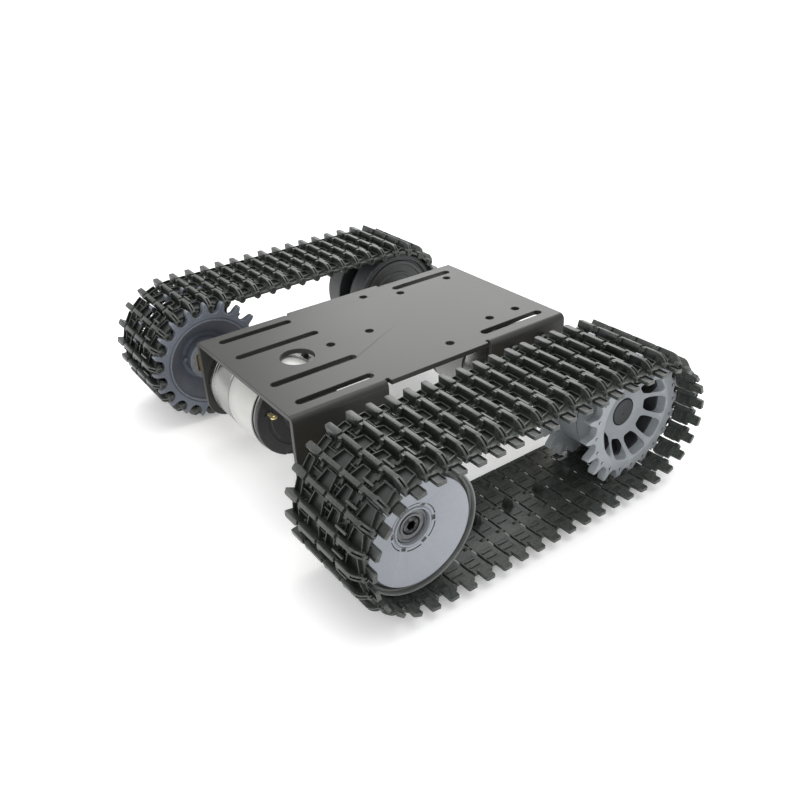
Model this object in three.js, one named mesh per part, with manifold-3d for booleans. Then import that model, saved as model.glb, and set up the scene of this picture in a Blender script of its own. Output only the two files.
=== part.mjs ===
// Tracked robot chassis: bent sheet deck, two geared motors placed diagonally, a toothed
// drive sprocket and a smooth idler on each side, and one linked belt per side.
// Frame: +X forward, +Y vehicle's left, +Z up, origin on the ground under the middle. Millimetres.
import * as THREE from 'three';
import { mergeVertices } from 'three/addons/utils/BufferGeometryUtils.js';
import Module from 'manifold-3d';

const wasm = await Module();
wasm.setup();

// ---------------------------------------------------------------- driving dimensions
const GAP = 0.3;              // clearance between neighbouring pieces
const PITCH = 7.5;            // distance between link pins
const TEETH = 20;             // teeth on a sprocket, pins per full turn
const LINKS = 47;             // links in one belt
const WHEELBASE = 101.25;     // 13.5 pitches
const R_PIN = (PITCH * TEETH) / (2 * Math.PI); // pins ride on this radius
const CLEAT_H = 3.5;          // cleat top above the pin line
const RIDE = 0.0986;           // cleat corners in the wraps reach this far below the flat run
const AXLE_Z = R_PIN + CLEAT_H + RIDE;
const AX = WHEELBASE / 2;

const BELT_IN = 54.5;         // belt edge nearest the deck
const BELT_OUT = 99.7;        // belt edge furthest from the deck
const BELT_W = BELT_OUT - BELT_IN;
const BELT_PHASE = 7.2;       // degrees from the wheel's horizontal to the first pin

const DECK_L = 127;
const DECK_W = 76.5;
const DECK_T = 2;
const DECK_TOP = AXLE_Z + 21.1;
const BEND_R = 2.5;
const FLANGE_X0 = 24.2;       // inner end of every side flange
const FLANGE_Z = 12.6;        // lower edge of every side flange
const FLANGE_CORNER = 9;
const SLOT_W = 3.4;
const M3_HOLE = 3.4;

const MOTOR_R = 18.5;
const SHAFT_OFFSET = 7;       // output shaft sits this far from the motor's middle
const MOTOR_SCREW_R = 15.5;

const RING_IN = 63.05;        // inboard face of the inboard toothed ring
const RING_OUT = 88.05;       // outboard face of the outboard toothed ring
const RING_T = 3;
const TIP_R = 25.9;
const ROOT_R = 21.4;
const DRUM_R = 18;
const WINDOW_R = 16.8;        // outer end of the sprocket's windows
const IDLER_R = 22;
const IDLER_IN = 61.1;
const IDLER_OUT = 90.2;
const IDLER_MID = 75.5;
const DISH = 3.9;             // depth of the idler's hub below its rim face
const RIGHT_SHIFT = -4.75;    // the right sprocket sits nearer the deck, under the belt's outer knuckles

// ---------------------------------------------------------------- helpers
function solid(geometry) {
  let g = geometry.clone();
  g.deleteAttribute('normal');
  g.deleteAttribute('uv');
  g = mergeVertices(g, 1e-4);
  return new wasm.Manifold(new wasm.Mesh({
    numProp: 3,
    vertProperties: new Float32Array(g.attributes.position.array),
    triVerts: new Uint32Array(g.index.array),
  }));
}
function geometryOf(m) {
  const mesh = m.getMesh();
  const g = new THREE.BufferGeometry();
  const src = mesh.vertProperties;
  const n = mesh.numProp;
  const pos = new Float32Array((src.length / n) * 3);
  for (let i = 0; i < src.length / n; i++) {
    pos[3 * i] = src[n * i];
    pos[3 * i + 1] = src[n * i + 1];
    pos[3 * i + 2] = src[n * i + 2];
  }
  g.setAttribute('position', new THREE.BufferAttribute(pos, 3));
  g.setIndex(new THREE.BufferAttribute(new Uint32Array(mesh.triVerts), 1));
  g.computeVertexNormals();
  return g;
}
const join = (list) => list.reduce((a, b) => a.add(b));
const cut = (a, list) => (list.length ? a.subtract(join(list)) : a);

function box(x0, x1, y0, y1, z0, z1) {
  const g = new THREE.BoxGeometry(x1 - x0, y1 - y0, z1 - z0);
  g.translate((x0 + x1) / 2, (y0 + y1) / 2, (z0 + z1) / 2);
  return solid(g);
}
// cylinder along Y
function rodY(r, y0, y1, x, z, seg = 32, turn = 0) {
  const g = new THREE.CylinderGeometry(r, r, y1 - y0, seg, 1);
  g.rotateY(turn);
  g.translate(x, (y0 + y1) / 2, z);
  return solid(g);
}
// cylinder along Z
function rodZ(r, z0, z1, x, y, seg = 20) {
  const g = new THREE.CylinderGeometry(r, r, z1 - z0, seg, 1);
  g.rotateX(Math.PI / 2);
  g.translate(x, y, (z0 + z1) / 2);
  return solid(g);
}
// closed (radius, y) profile turned about an axis parallel to Y
function turned(profile, x, z, seg = 32) {
  const g = new THREE.LatheGeometry(profile.map(([r, y]) => new THREE.Vector2(r, y)), seg);
  g.translate(x, 0, z);
  let m = solid(g);
  if (m.volume() < 0) {
    const idx = [];
    const h = g.toNonIndexed();
    const p = h.attributes.position.array;
    for (let i = 0; i < p.length; i += 9) idx.push(i);
    const q = new Float32Array(p.length);
    for (const i of idx) {
      q.set(p.slice(i, i + 3), i);
      q.set(p.slice(i + 6, i + 9), i + 3);
      q.set(p.slice(i + 3, i + 6), i + 6);
    }
    const f = new THREE.BufferGeometry();
    f.setAttribute('position', new THREE.BufferAttribute(q, 3));
    m = solid(f);
  }
  return m;
}
// outline drawn in X and Z, given thickness along Y
function plateXZ(points, y0, y1) {
  const s = points instanceof THREE.Shape ? points
    : new THREE.Shape(points.map(([x, z]) => new THREE.Vector2(x, z)));
  const g = new THREE.ExtrudeGeometry(s, { depth: y1 - y0, bevelEnabled: false, curveSegments: 10 });
  g.rotateX(Math.PI / 2);
  g.translate(0, y1, 0);
  return solid(g);
}
// outline drawn in X and Y, given thickness along Z
function plateXY(points, z0, z1) {
  const s = new THREE.Shape(points.map(([x, y]) => new THREE.Vector2(x, y)));
  const g = new THREE.ExtrudeGeometry(s, { depth: z1 - z0, bevelEnabled: false });
  g.translate(0, 0, z0);
  return solid(g);
}
// outline drawn in Y and Z, given length along X
function barX(points, x0, x1) {
  const s = new THREE.Shape(points.map(([y, z]) => new THREE.Vector2(y, z)));
  const g = new THREE.ExtrudeGeometry(s, { depth: x1 - x0, bevelEnabled: false });
  g.rotateY(Math.PI / 2);
  g.rotateX(Math.PI / 2);
  g.translate(x0, 0, 0);
  return solid(g);
}
function arc(cx, cy, r, a0, a1, n) {
  const out = [];
  for (let i = 0; i <= n; i++) {
    const a = THREE.MathUtils.degToRad(a0 + ((a1 - a0) * i) / n);
    out.push([cx + r * Math.cos(a), cy + r * Math.sin(a)]);
  }
  return out;
}

const group = new THREE.Group();
group.name = 'tracked_chassis';
const STEEL = { color: 0xb9bcbf, roughness: 0.35, metalness: 0.9 };
const BLACK_STEEL = { color: 0x2a2b2d, roughness: 0.4, metalness: 0.7 };
const BRASS = { color: 0xc9a14a, roughness: 0.35, metalness: 0.9 };
const DECK = { color: 0x6f6f68, roughness: 0.5, metalness: 0.55 };
const GREY_PLASTIC = { color: 0xa4a9b0, roughness: 0.5, metalness: 0.0 };
const BLUE_GREY_PLASTIC = { color: 0x6c7280, roughness: 0.5, metalness: 0.0 };
const DARK_PLASTIC = { color: 0x2c2f31, roughness: 0.5, metalness: 0.0 };
const BELT = { color: 0x1f2422, roughness: 0.55, metalness: 0.0 };
const LABEL = { color: 0xe8e8e4, roughness: 0.45, metalness: 0.0 };

function add(name, m, look, parent = group) {
  const mesh = new THREE.Mesh(geometryOf(m), new THREE.MeshStandardMaterial(look));
  mesh.name = name;
  mesh.material.name = name;
  parent.add(mesh);
  return mesh;
}

// ---------------------------------------------------------------- deck
const HL = DECK_L / 2;
const HW = DECK_W / 2;
const PLAIN_Y = HW - 0.3;     // sheet edge between the flanges
function deck() {
  let m = box(-HL, HL, -(HW - BEND_R), HW - BEND_R, DECK_TOP - DECK_T, DECK_TOP);
  m = m.add(box(-(FLANGE_X0 - 1.2), FLANGE_X0 - 1.2, -PLAIN_Y, PLAIN_Y, DECK_TOP - DECK_T, DECK_TOP));
  const yc = HW - BEND_R;
  const zc = DECK_TOP - BEND_R;
  const profile = [
    [yc - 1, DECK_TOP], ...arc(yc, zc, BEND_R, 90, 0, 3), [HW, FLANGE_Z], [HW - DECK_T, FLANGE_Z],
    ...arc(yc, zc, BEND_R - DECK_T, 0, 90, 1), [yc - 1, DECK_TOP - DECK_T],
  ].reverse();
  const c = FLANGE_CORNER;
  const side = [
    ...arc(FLANGE_X0 + c, FLANGE_Z + c, c, 180, 270, 3), ...arc(HL - c, FLANGE_Z + c, c, 270, 360, 3),
    [HL, DECK_TOP + 1], [FLANGE_X0, DECK_TOP + 1],
  ];
  const flange = barX(profile, FLANGE_X0, HL).intersect(plateXZ(side, 20, 60));
  const idlerHole = rodY(2.9, 30, 45, AX, AXLE_Z, 12);
  const idlerFlange = flange.subtract(idlerHole);
  // the motor flange: a boss hole on the wheel axis and six screw holes round the motor
  const mx = AX - SHAFT_OFFSET;
  const motorCuts = [rodY(6.5, 30, 45, AX, AXLE_Z, 16)];
  for (const a of SCREW_ANGLES) {
    const t = THREE.MathUtils.degToRad(a);
    motorCuts.push(rodY(1.75, 30, 45, mx + MOTOR_SCREW_R * Math.cos(t), AXLE_Z + MOTOR_SCREW_R * Math.sin(t), 8));
  }
  const motorFlange = flange.subtract(join(motorCuts));
  // left side: idler flange in front, motor flange at the rear; the right side is the same turned half round
  const frontLeft = idlerFlange;
  const rearLeft = motorFlange.mirror([1, 0, 0]);
  m = m.add(frontLeft).add(rearLeft).add(frontLeft.rotate([0, 0, 180])).add(rearLeft.rotate([0, 0, 180]));
  const holes = [];
  const slot = (x0, x1, y) => {
    const r = SLOT_W / 2;
    holes.push(plateXY([...arc(x1 - r, y, r, -90, 90, 3), ...arc(x0 + r, y, r, 90, 270, 3)], DECK_TOP - 3, DECK_TOP + 1));
  };
  for (const s of [-1, 1]) {
    slot(25.4, 57.3, s * 30.1);
    slot(22.1, 58.1, s * 13.8);
    slot(-58.0, -26.3, s * 29.7);
  }
  for (const [x, y] of [[24.3, -0.4], [6.0, -0.8], [-11.3, -30.9], [-26.2, -23.9], [-52.2, -24.0], [-11.4, 28.5], [-38.1, 21.1], [-52.1, 21.1]]) {
    holes.push(rodZ(M3_HOLE / 2, DECK_TOP - 3, DECK_TOP + 1, x, y, 8));
  }
  holes.push(rodZ(6.6, DECK_TOP - 3, DECK_TOP + 1, 39.4, 0, 20));
  return cut(m, holes);
}
const SCREW_ANGLES = [60, 120, 240, 300];

// ---------------------------------------------------------------- drive side (built for the left rear corner)
function driveParts(side, tag, wheelLook, shift = 0) {
  const x = -AX;              // wheel axis
  const mx = x + SHAFT_OFFSET; // motor axis
  const z = AXLE_Z;
  const faceIn = HW - DECK_T; // inner face of the flange

  // gearbox front plate with the eccentric boss
  let plate = rodY(MOTOR_R, faceIn - GAP - 3, faceIn - GAP, mx, z, 24);
  plate = plate.add(rodY(6, faceIn - GAP - 1, HW + 0.4, x, z, 16));
  const screws = [];
  for (const a of SCREW_ANGLES) {
    const t = THREE.MathUtils.degToRad(180 - a);
    screws.push([mx + MOTOR_SCREW_R * Math.cos(t), z + MOTOR_SCREW_R * Math.sin(t)]);
  }
  plate = cut(plate, screws.map(([sx, sz]) => rodY(1.75, faceIn - 5, HW + 1, sx, sz, 8)));
  add(`gearbox_plate_${tag}`, plate, STEEL, side);

  // gearbox can with a rolled step at its back edge
  const g1 = faceIn - GAP - 3 - GAP;
  add(`gearbox_${tag}`, turned([
    [0, g1], [MOTOR_R, g1], [MOTOR_R, 20.2], [MOTOR_R - 0.5, 19.7], [MOTOR_R - 0.5, 19.2], [0, 19.2],
  ].reverse(), mx, z, 24), STEEL, side);

  // motor can, paper label and black brush cap
  add(`motor_can_${tag}`, turned([
    [0, 18.9], [17.6, 18.9], [17.6, -2.0], [0, -2.0],
  ].reverse(), mx, z, 24), STEEL, side);
  add(`motor_label_${tag}`, turned([
    [17.9, 18.4], [18.4, 18.4], [18.4, -0.6], [17.9, -0.6], [17.9, 18.4],
  ].reverse(), mx, z, 24), LABEL, side);
  let cap = turned([
    [0, -2.3], [17.9, -2.3], [17.9, -4.0], [17.3, -4.6], [6.6, -4.6], [6.2, -5.6], [0, -5.6],
  ].reverse(), mx, z, 24);
  const notches = [];
  for (const a of [250, 292, 70]) {
    const t = THREE.MathUtils.degToRad(a);
    notches.push(rodY(1.5, -7, -3.4, mx + 17.7 * Math.cos(t), z + 17.7 * Math.sin(t), 4, t));
  }
  cap = cut(cap, notches);
  add(`motor_cap_${tag}`, cap, DARK_PLASTIC, side);
  for (const [k, s] of [['a', -1], ['b', 1]]) {
    const g = new THREE.Shape(arc(0, 0, 1.6, 0, 360, 12).slice(0, -1).map(([a, b]) => new THREE.Vector2(a * 1.0, b)));
    let t = rodY(1.6, -0.35, 0.35, 0, 0, 8).add(box(-1.6, 1.6, -0.35, 0.35, 0, 3.2));
    t = t.subtract(rodY(0.75, -1, 1, 0, 0, 6));
    // stands off the cap, hole near its free end
    t = t.rotate([90, 0, 0]).rotate([0, 70, 0]).translate([mx + s * 12.5, -6.5, z - s * 4.7]);
    add(`motor_terminal_${k}_${tag}`, t, BRASS, side);
  }
  screws.forEach(([sx, sz], i) => {
    let s = turned([
      [0, faceIn - 2.6], [1.35, faceIn - 2.6], [1.35, HW + GAP], [2.8, HW + GAP], [2.5, HW + 1.4], [0, HW + 1.9],
    ], sx, sz, 8);
    s = s.subtract(rodY(0.95, HW + 0.9, HW + 3, sx, sz, 4));
    add(`motor_screw_${i + 1}_${tag}`, s, BLACK_STEEL, side);
  });

  // turning parts: shaft, hex coupling, set screw, two sprocket halves, hub cap
  const ri = RING_IN + shift;
  const ro = RING_OUT + shift;
  const m = (ri + ro) / 2;
  let shaft = rodY(3, HW + 0.7, 59.5, x, z, 16);
  shaft = shaft.subtract(box(x - 4, x + 4, 47, 60, z + 2.5, z + 4));
  add(`output_shaft_${tag}`, shaft, STEEL, side);
  const hex = (r, y0, y1, seg = 6) => rodY(r, y0, y1, x, z, seg, Math.PI / 6);
  let coupling = hex(6.9, 42, ro - 11.0);
  coupling = coupling.subtract(rodY(3.4, 41, 60.5, x, z, 14)).subtract(rodZ(1.7, z + 1, z + 9, x, 51, 8));
  add(`hub_coupling_${tag}`, coupling, BRASS, side);
  let setScrew = rodZ(1.3, z + 2.85, z + 6.6, x, 51, 8);
  setScrew = setScrew.subtract(rodZ(0.7, z + 5.2, z + 7, x, 51, 4));
  add(`set_screw_${tag}`, setScrew, BLACK_STEEL, side);

  // toothed ring outline: pointed teeth with rounded gaps for the link pins
  const phase = BELT_PHASE + 180 / TEETH;
  const ring = [];
  for (let i = 0; i < TEETH; i++) {
    const a = 180 + phase + (i * 360) / TEETH;
    const p = (da, r) => {
      const t = THREE.MathUtils.degToRad(a + da);
      return [x + r * Math.cos(t), z + r * Math.sin(t)];
    };
    ring.push(p(-9, ROOT_R), p(-3.7, ROOT_R + 1.5), p(-1.2, TIP_R), p(1.2, TIP_R), p(3.7, ROOT_R + 1.5));
  }
  let inner = turned([
    [0, ri + 1.7], [9.2, ri + 1.7], [9.2, ri + 7.7], [10.8, ri + 7.7], [17.6, ri + 2.4], [18.6, ri], [20, ri], [20, ri + RING_T],
    [DRUM_R, ri + RING_T], [DRUM_R, m - GAP / 2], [16.2, m - GAP / 2], [16.2, ri + 6.3], [9.2, ri + 10.7], [9.2, m - GAP / 2], [0, m - GAP / 2],
  ], x, z, 20);
  inner = inner.add(cut(plateXZ(ring, ri, ri + RING_T), [rodY(19.6, ri - 5, ri + 8, x, z, 20)]));
  inner = inner.subtract(hex(7.25, 52, 80));
  // cast mark on the rim of the boss
  inner = inner.add(rodY(0.9, ri + 5.5, ri + 8.4, x - 9.6, z + 1.2, 6));
  add(`sprocket_inner_${tag}`, inner, wheelLook, side);

  let outer = turned([
    [0, m + GAP / 2], [9.2, m + GAP / 2], [9.2, ro - 9.3], [16.2, ro - 4.9], [16.2, m + GAP / 2], [DRUM_R, m + GAP / 2],
    [DRUM_R, ro - RING_T], [20, ro - RING_T], [20, ro], [17.8, ro], [10.6, ro - 5.9], [5.6, ro - 5.9], [5.6, ro - 8.1], [0, ro - 8.1],
  ], x, z, 20);
  outer = outer.add(cut(plateXZ(ring, ro - RING_T, ro), [rodY(19.6, ro - 8, ro + 5, x, z, 20)]));
  outer = outer.subtract(hex(7.25, 60, ro - 10.5));
  const windows = [];
  for (let i = 0; i < 10; i++) {
    const a = i * 36 + 2;
    const half = (r) => THREE.MathUtils.radToDeg(Math.asin((r * Math.sin(THREE.MathUtils.degToRad(18)) - 1.15) / r));
    const pts = [...arc(x, z, 10.9, a - half(10.9), a + half(10.9), 1), ...arc(x, z, WINDOW_R, a + half(WINDOW_R), a - half(WINDOW_R), 1)].reverse();
    windows.push(plateXZ(pts, ro - 9.5, ro + 1.5));
  }
  outer = cut(outer, windows);
  add(`sprocket_outer_${tag}`, outer, wheelLook, side);
  add(`sprocket_cap_${tag}`, turned([[0, ro - 7.8], [5.2, ro - 7.8], [5.2, ro - 5.8], [0, ro - 5.8]], x, z, 16), DARK_PLASTIC, side);
}

// ---------------------------------------------------------------- idler side (built for the left front corner)
function idlerParts(side, tag, wheelLook) {
  const x = AX;
  const z = AXLE_Z;
  // outboard half: flat face, bevelled shoulder, thin lip, rolling rim, hollow back
  let outer = turned([
    [3.3, IDLER_MID + GAP / 2], [16.4, IDLER_MID + GAP / 2], [16.4, 79.8], [IDLER_R, 79.8],
    [IDLER_R, 87.1], [21.4, 87.5], [21.2, 88.6], [19.0, IDLER_OUT], [7.4, IDLER_OUT - DISH], [6.8, IDLER_OUT - DISH + 0.4], [6.3, IDLER_OUT - DISH],
    [6.3, 81.5], [3.3, 81.5], [3.3, IDLER_MID + GAP / 2],
  ], x, z, 24);
  const marks = [];
  for (let i = 0; i < 6; i++) {
    const t = THREE.MathUtils.degToRad(i * 60 + 20);
    const m = box(-0.8, 0.8, IDLER_OUT - 4.2, IDLER_OUT + 1, -0.55, 0.55).rotate([0, -(i * 60 + 20) + 90, 0]);
    marks.push(m.translate([x + 8.9 * Math.cos(t), 0, z + 8.9 * Math.sin(t)]));
  }
  outer = cut(outer, marks);
  add(`idler_outer_${tag}`, outer, wheelLook, side);
  let inner = turned([
    [3.3, IDLER_MID - GAP / 2], [3.3, 65.8], [6.3, 65.8], [6.3, IDLER_IN], [8.4, IDLER_IN], [8.6, IDLER_IN + 1.0], [19.4, IDLER_IN + 1.0],
    [19.8, IDLER_IN], [IDLER_R, IDLER_IN + 0.4], [IDLER_R, 71.2], [16.4, 71.2], [16.4, IDLER_MID - GAP / 2], [3.3, IDLER_MID - GAP / 2],
  ].reverse(), x, z, 32);
  add(`idler_inner_${tag}`, inner, wheelLook, side);
  // ball bearings shown as stepped rings
  const bearing = (y0, y1, out) => {
    const f = out ? y1 : y0;
    const d = out ? -0.5 : 0.5;
    const pts = out
      ? [[3.3, y0], [6.0, y0], [6.0, f], [4.6, f + d], [3.3, f], [3.3, y0]]
      : [[3.3, f], [4.6, f + d], [6.0, f], [6.0, y1], [3.3, y1], [3.3, f]];
    return turned(pts, x, z, 14);
  };
  add(`idler_bearing_out_${tag}`, bearing(81.8, 85.6, true), STEEL, side);
  add(`idler_bearing_in_${tag}`, bearing(61.6, 65.5, false), STEEL, side);
  let axle = turned([[0, 30.2], [2.5, 30.2], [2.5, 81.3], [2.95, 81.5], [2.95, 85.4], [0, 85.4]], x, z, 14);
  axle = axle.subtract(rodY(1.75, 82.8, 87, x, z, 6));
  add(`idler_axle_${tag}`, axle, BLACK_STEEL, side);
  add(`idler_spacer_${tag}`, turned([[2.9, HW + GAP], [4.5, HW + GAP], [4.5, 61.3], [2.9, 61.3], [2.9, HW + GAP]], x, z, 12), BRASS, side);
  add(`idler_washer_${tag}`, turned([[2.8, 34.95], [5.5, 34.95], [5.5, HW - DECK_T - GAP], [2.8, HW - DECK_T - GAP], [2.8, 34.95]], x, z, 12), STEEL, side);
  let nut = rodY(4.6, 31.0, 34.65, x, z, 6, Math.PI / 6);
  nut = nut.subtract(rodY(2.9, 28, 36, x, z, 14));
  add(`idler_nut_${tag}`, nut, STEEL, side);
}

// ---------------------------------------------------------------- belt
// One link in its own frame: X forward along the top run, Y across from the blocky end, Z away from the wheels,
// pin axis at the origin. The sheet behind the pin reaches back to the previous link.
function prismY(points, w0, w1) {
  const s = new THREE.Shape(points.map(([a, b]) => new THREE.Vector2(a, b)));
  const g = new THREE.ExtrudeGeometry(s, { depth: w1 - w0, bevelEnabled: false });
  g.rotateX(Math.PI / 2);
  g.translate(0, w1, 0);
  return solid(g);
}
function link(channels, hornW, horn, root) {
  const [c1, c2] = channels;
  const half = 1.0;                                                     // half the cleat's thickness
  const drop = Math.max(c2[1] + 0.3, root - 5.4);                      // where the cleat's outer end starts to fall
  const parts = [];
  // sheet reaching back to the previous pin, in three strips between the running grooves
  for (const [w0, w1, back] of [[0, c1[0], -6.1], [c1[1], c2[0], -7.1], [c2[1], root, -6.1]]) {
    parts.push(prismY([[back, -1.02], [half, -1.2], [half, 0], [back, -0.16]], w0, w1));
  }
  // cleat: a tall bar, notched over the grooves, dropping at its outer end
  const o = new THREE.Shape([[0, -1.0], [c1[0], -1.0], [c1[0], 2.5], [c1[1], 2.5], [c1[1], -1.0], [c2[0], -1.0], [c2[0], 2.5], [c2[1], 2.5], [c2[1], -1.0],
    [root, -1.0], [root, 1.6], [drop, CLEAT_H], [0, CLEAT_H]].map(([a, b]) => new THREE.Vector2(a, b)));
  const tg = new THREE.ExtrudeGeometry(o, { depth: 2 * half, bevelEnabled: false });
  tg.rotateX(Math.PI / 2);
  tg.rotateZ(Math.PI / 2);
  let bar = solid(tg);
  const bb = bar.boundingBox();
  bar = bar.translate([-half - bb.min[0], -bb.min[1], -1.0 - bb.min[2]]);
  parts.push(bar);
  parts.push(box(-5.2, -1.4, root - 0.5, BELT_W, -0.95, -0.25));         // outer tab
  // guide horn on the inner side of every second link
  if (horn) parts.push(prismY([[-5.0, -1.0], [-3.2, -5.0], [-1.4, -1.0]], hornW - 1.5, hornW + 1.5));
  return join(parts);
}
function pinAt(s) {
  const total = PITCH * LINKS;
  const wrap = Math.PI * R_PIN;
  let q = ((s % total) + total) % total;
  if (q < WHEELBASE) return [-AX + q, R_PIN];
  q -= WHEELBASE;
  if (q < wrap) return [AX + R_PIN * Math.sin(q / R_PIN), R_PIN * Math.cos(q / R_PIN)];
  q -= wrap;
  if (q < WHEELBASE) return [AX - q, -R_PIN];
  q -= WHEELBASE;
  return [-AX - R_PIN * Math.sin(q / R_PIN), -R_PIN * Math.cos(q / R_PIN)];
}
function belt(y0, start, channels, hornW, root) {
  const kinds = [link(channels, hornW, false, root), link(channels, hornW, true, root)];
  const all = [];
  for (let k = 0; k < LINKS; k++) {
    const [x, z] = pinAt(start + k * PITCH);
    const [xb, zb] = pinAt(start + (k - 1) * PITCH);
    const tilt = Math.atan2(-(z - zb), x - xb);
    all.push(kinds[k % 2].rotate([0, THREE.MathUtils.radToDeg(tilt), 0]).translate([x, y0, z + AXLE_Z]));
  }
  return join(all);
}
const arcPerDeg = (Math.PI / 180) * R_PIN;
// left belt: pins fall at 187.2 degrees on the rear wheel, measured from forward towards up
const startLeft = -(97.2 - 90) * arcPerDeg;
// right belt: pins fall at 7.2 degrees on the front wheel
const startRight = WHEELBASE + (90 - BELT_PHASE) * arcPerDeg;
const CLEAR = 0.35;
const chan = (y0, a, b) => [a - CLEAR - y0, b + CLEAR - y0];

add('deck_plate', deck(), DECK);

const left = new THREE.Group();
left.name = 'left_side';
group.add(left);
driveParts(left, 'rear_left', GREY_PLASTIC);
idlerParts(left, 'front_left', GREY_PLASTIC);
const right = new THREE.Group();
right.name = 'right_side';
right.rotation.z = Math.PI;
group.add(right);
driveParts(right, 'front_right', BLUE_GREY_PLASTIC, RIGHT_SHIFT);
idlerParts(right, 'rear_right', DARK_PLASTIC);

const leftChannels = [chan(BELT_IN, RING_IN, RING_IN + RING_T), chan(BELT_IN, RING_OUT - RING_T, RING_OUT)];
add('track_left', belt(BELT_IN, startLeft, leftChannels, IDLER_MID - BELT_IN, BELT_W - 4.2), BELT);
const ringsRight = [RING_OUT + RIGHT_SHIFT, RING_IN + RING_T + RIGHT_SHIFT];
const rightChannels = ringsRight.map((y) => chan(-BELT_OUT, -y, -y + RING_T));
add('track_right', belt(-BELT_OUT, startRight, rightChannels, BELT_OUT - IDLER_MID, BELT_W - 1.6), BELT);

export default group;
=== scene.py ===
import math
import bmesh
import bpy
import numpy as np
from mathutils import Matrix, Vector


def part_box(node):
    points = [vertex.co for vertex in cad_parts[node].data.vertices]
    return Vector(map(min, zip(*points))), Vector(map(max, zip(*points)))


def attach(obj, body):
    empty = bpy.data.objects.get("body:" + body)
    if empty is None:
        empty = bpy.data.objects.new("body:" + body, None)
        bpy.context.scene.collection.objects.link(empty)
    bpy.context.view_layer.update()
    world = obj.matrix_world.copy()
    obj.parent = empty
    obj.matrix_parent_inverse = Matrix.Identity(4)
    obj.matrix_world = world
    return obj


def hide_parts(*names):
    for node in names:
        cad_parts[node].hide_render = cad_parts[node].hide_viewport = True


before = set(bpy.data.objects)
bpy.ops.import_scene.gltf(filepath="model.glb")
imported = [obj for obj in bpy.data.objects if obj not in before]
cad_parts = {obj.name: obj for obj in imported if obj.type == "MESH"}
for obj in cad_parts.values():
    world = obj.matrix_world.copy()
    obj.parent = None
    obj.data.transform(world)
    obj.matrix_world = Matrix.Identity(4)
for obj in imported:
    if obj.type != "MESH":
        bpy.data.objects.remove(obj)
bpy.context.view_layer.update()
scene = bpy.context.scene
MM = 0.001

# ------------------------------------------------------------------ dimensions, mm
PITCH, LINKS, WHEELBASE, R_PIN = 7.5, 47, 101.25, 23.873
AX, AXLE_Z = 50.625, 27.4718
BELT_IN, BELT_OUT = 54.5, 99.7
RING_IN, RING_OUT, RING_T = 63.05, 88.05, 3.0
RIGHT_SHIFT = -4.75
IDLER_MID = 75.5
IDLER_IN, IDLER_OUT, DISH, IDLER_R = 61.1, 90.2, 3.9, 22.0
DECK_TOP = 48.5718
BELT_PHASE, TEETH = 7.2, 20


# ------------------------------------------------------------------ mesh helpers (all in mm)
def bm_poly_prism(poly, axis, a0, a1):
    """Closed prism from a convex or simple outline. axis 'w': outline is (u,h); 'h': outline is (u,w); 'u': outline is (w,h)."""
    def place(p, a):
        if axis == "w":
            return (p[0], a, p[1])
        if axis == "h":
            return (p[0], p[1], a)
        return (a, p[0], p[1])
    bm = bmesh.new()
    lo = [bm.verts.new(place(p, a0)) for p in poly]
    hi = [bm.verts.new(place(p, a1)) for p in poly]
    n = len(poly)
    bm.faces.new(lo[::-1])
    bm.faces.new(hi)
    for i in range(n):
        j = (i + 1) % n
        bm.faces.new([lo[i], lo[j], hi[j], hi[i]])
    bmesh.ops.recalc_face_normals(bm, faces=bm.faces[:])
    return bm


def bm_wall(p0, p1, t, top0, top1, bottom=-0.6):
    """A thin wall standing on the link's plate from p0 to p1 (u, w), thickness t, with its own top height at each end."""
    p0, p1 = np.array(p0, float), np.array(p1, float)
    d = (p1 - p0) / np.linalg.norm(p1 - p0)
    n = np.array([-d[1], d[0]]) * t / 2
    a, b = p0 - d * t / 2, p1 + d * t / 2
    bm = bmesh.new()
    vs = []
    for q, top in ((a, top0), (b, top1)):
        for s in (-1, 1):
            e = q + s * n
            vs.append([bm.verts.new((e[0], e[1], bottom)), bm.verts.new((e[0], e[1], top))])
    (a0, a1), (b0, b1), (c0, c1), (d0, d1) = vs
    for f in ([a0, a1, b1, b0], [c0, d0, d1, c1], [a0, c0, c1, a1], [b0, b1, d1, d0], [a1, c1, d1, b1], [a0, b0, d0, c0]):
        bm.faces.new(f)
    bmesh.ops.recalc_face_normals(bm, faces=bm.faces[:])
    return bm


def bm_bevel(bm, width, segments=1):
    bmesh.ops.bevel(bm, geom=bm.edges[:], offset=width, segments=segments, profile=0.5, affect="EDGES", clamp_overlap=True)
    return bm


def bm_turned(profile, seg, cx=0.0, cz=0.0, y0=0.0, a_off=0.0):
    """Closed lathe about an axis parallel to Y through (cx, cz). profile is a list of (radius, y)."""
    bm = bmesh.new()
    rings = []
    for r, y in profile:
        if r < 1e-6:
            rings.append([bm.verts.new((cx, y + y0, cz))])
        else:
            rings.append([bm.verts.new((cx + r * math.cos(2 * math.pi * i / seg + a_off), y + y0, cz + r * math.sin(2 * math.pi * i / seg + a_off))) for i in range(seg)])
    m = len(rings)
    closed = profile[0][0] > 1e-6 and profile[-1][0] > 1e-6
    for k in range(m if closed else m - 1):
        a, b = rings[k], rings[(k + 1) % m]
        if len(a) == 1 and len(b) == 1:
            continue
        for i in range(seg):
            j = (i + 1) % seg
            if len(a) == 1:
                bm.faces.new([a[0], b[i], b[j]])
            elif len(b) == 1:
                bm.faces.new([a[i], b[0], a[j]])
            else:
                bm.faces.new([a[i], b[i], b[j], a[j]])
    bmesh.ops.recalc_face_normals(bm, faces=bm.faces[:])
    return bm


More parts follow.
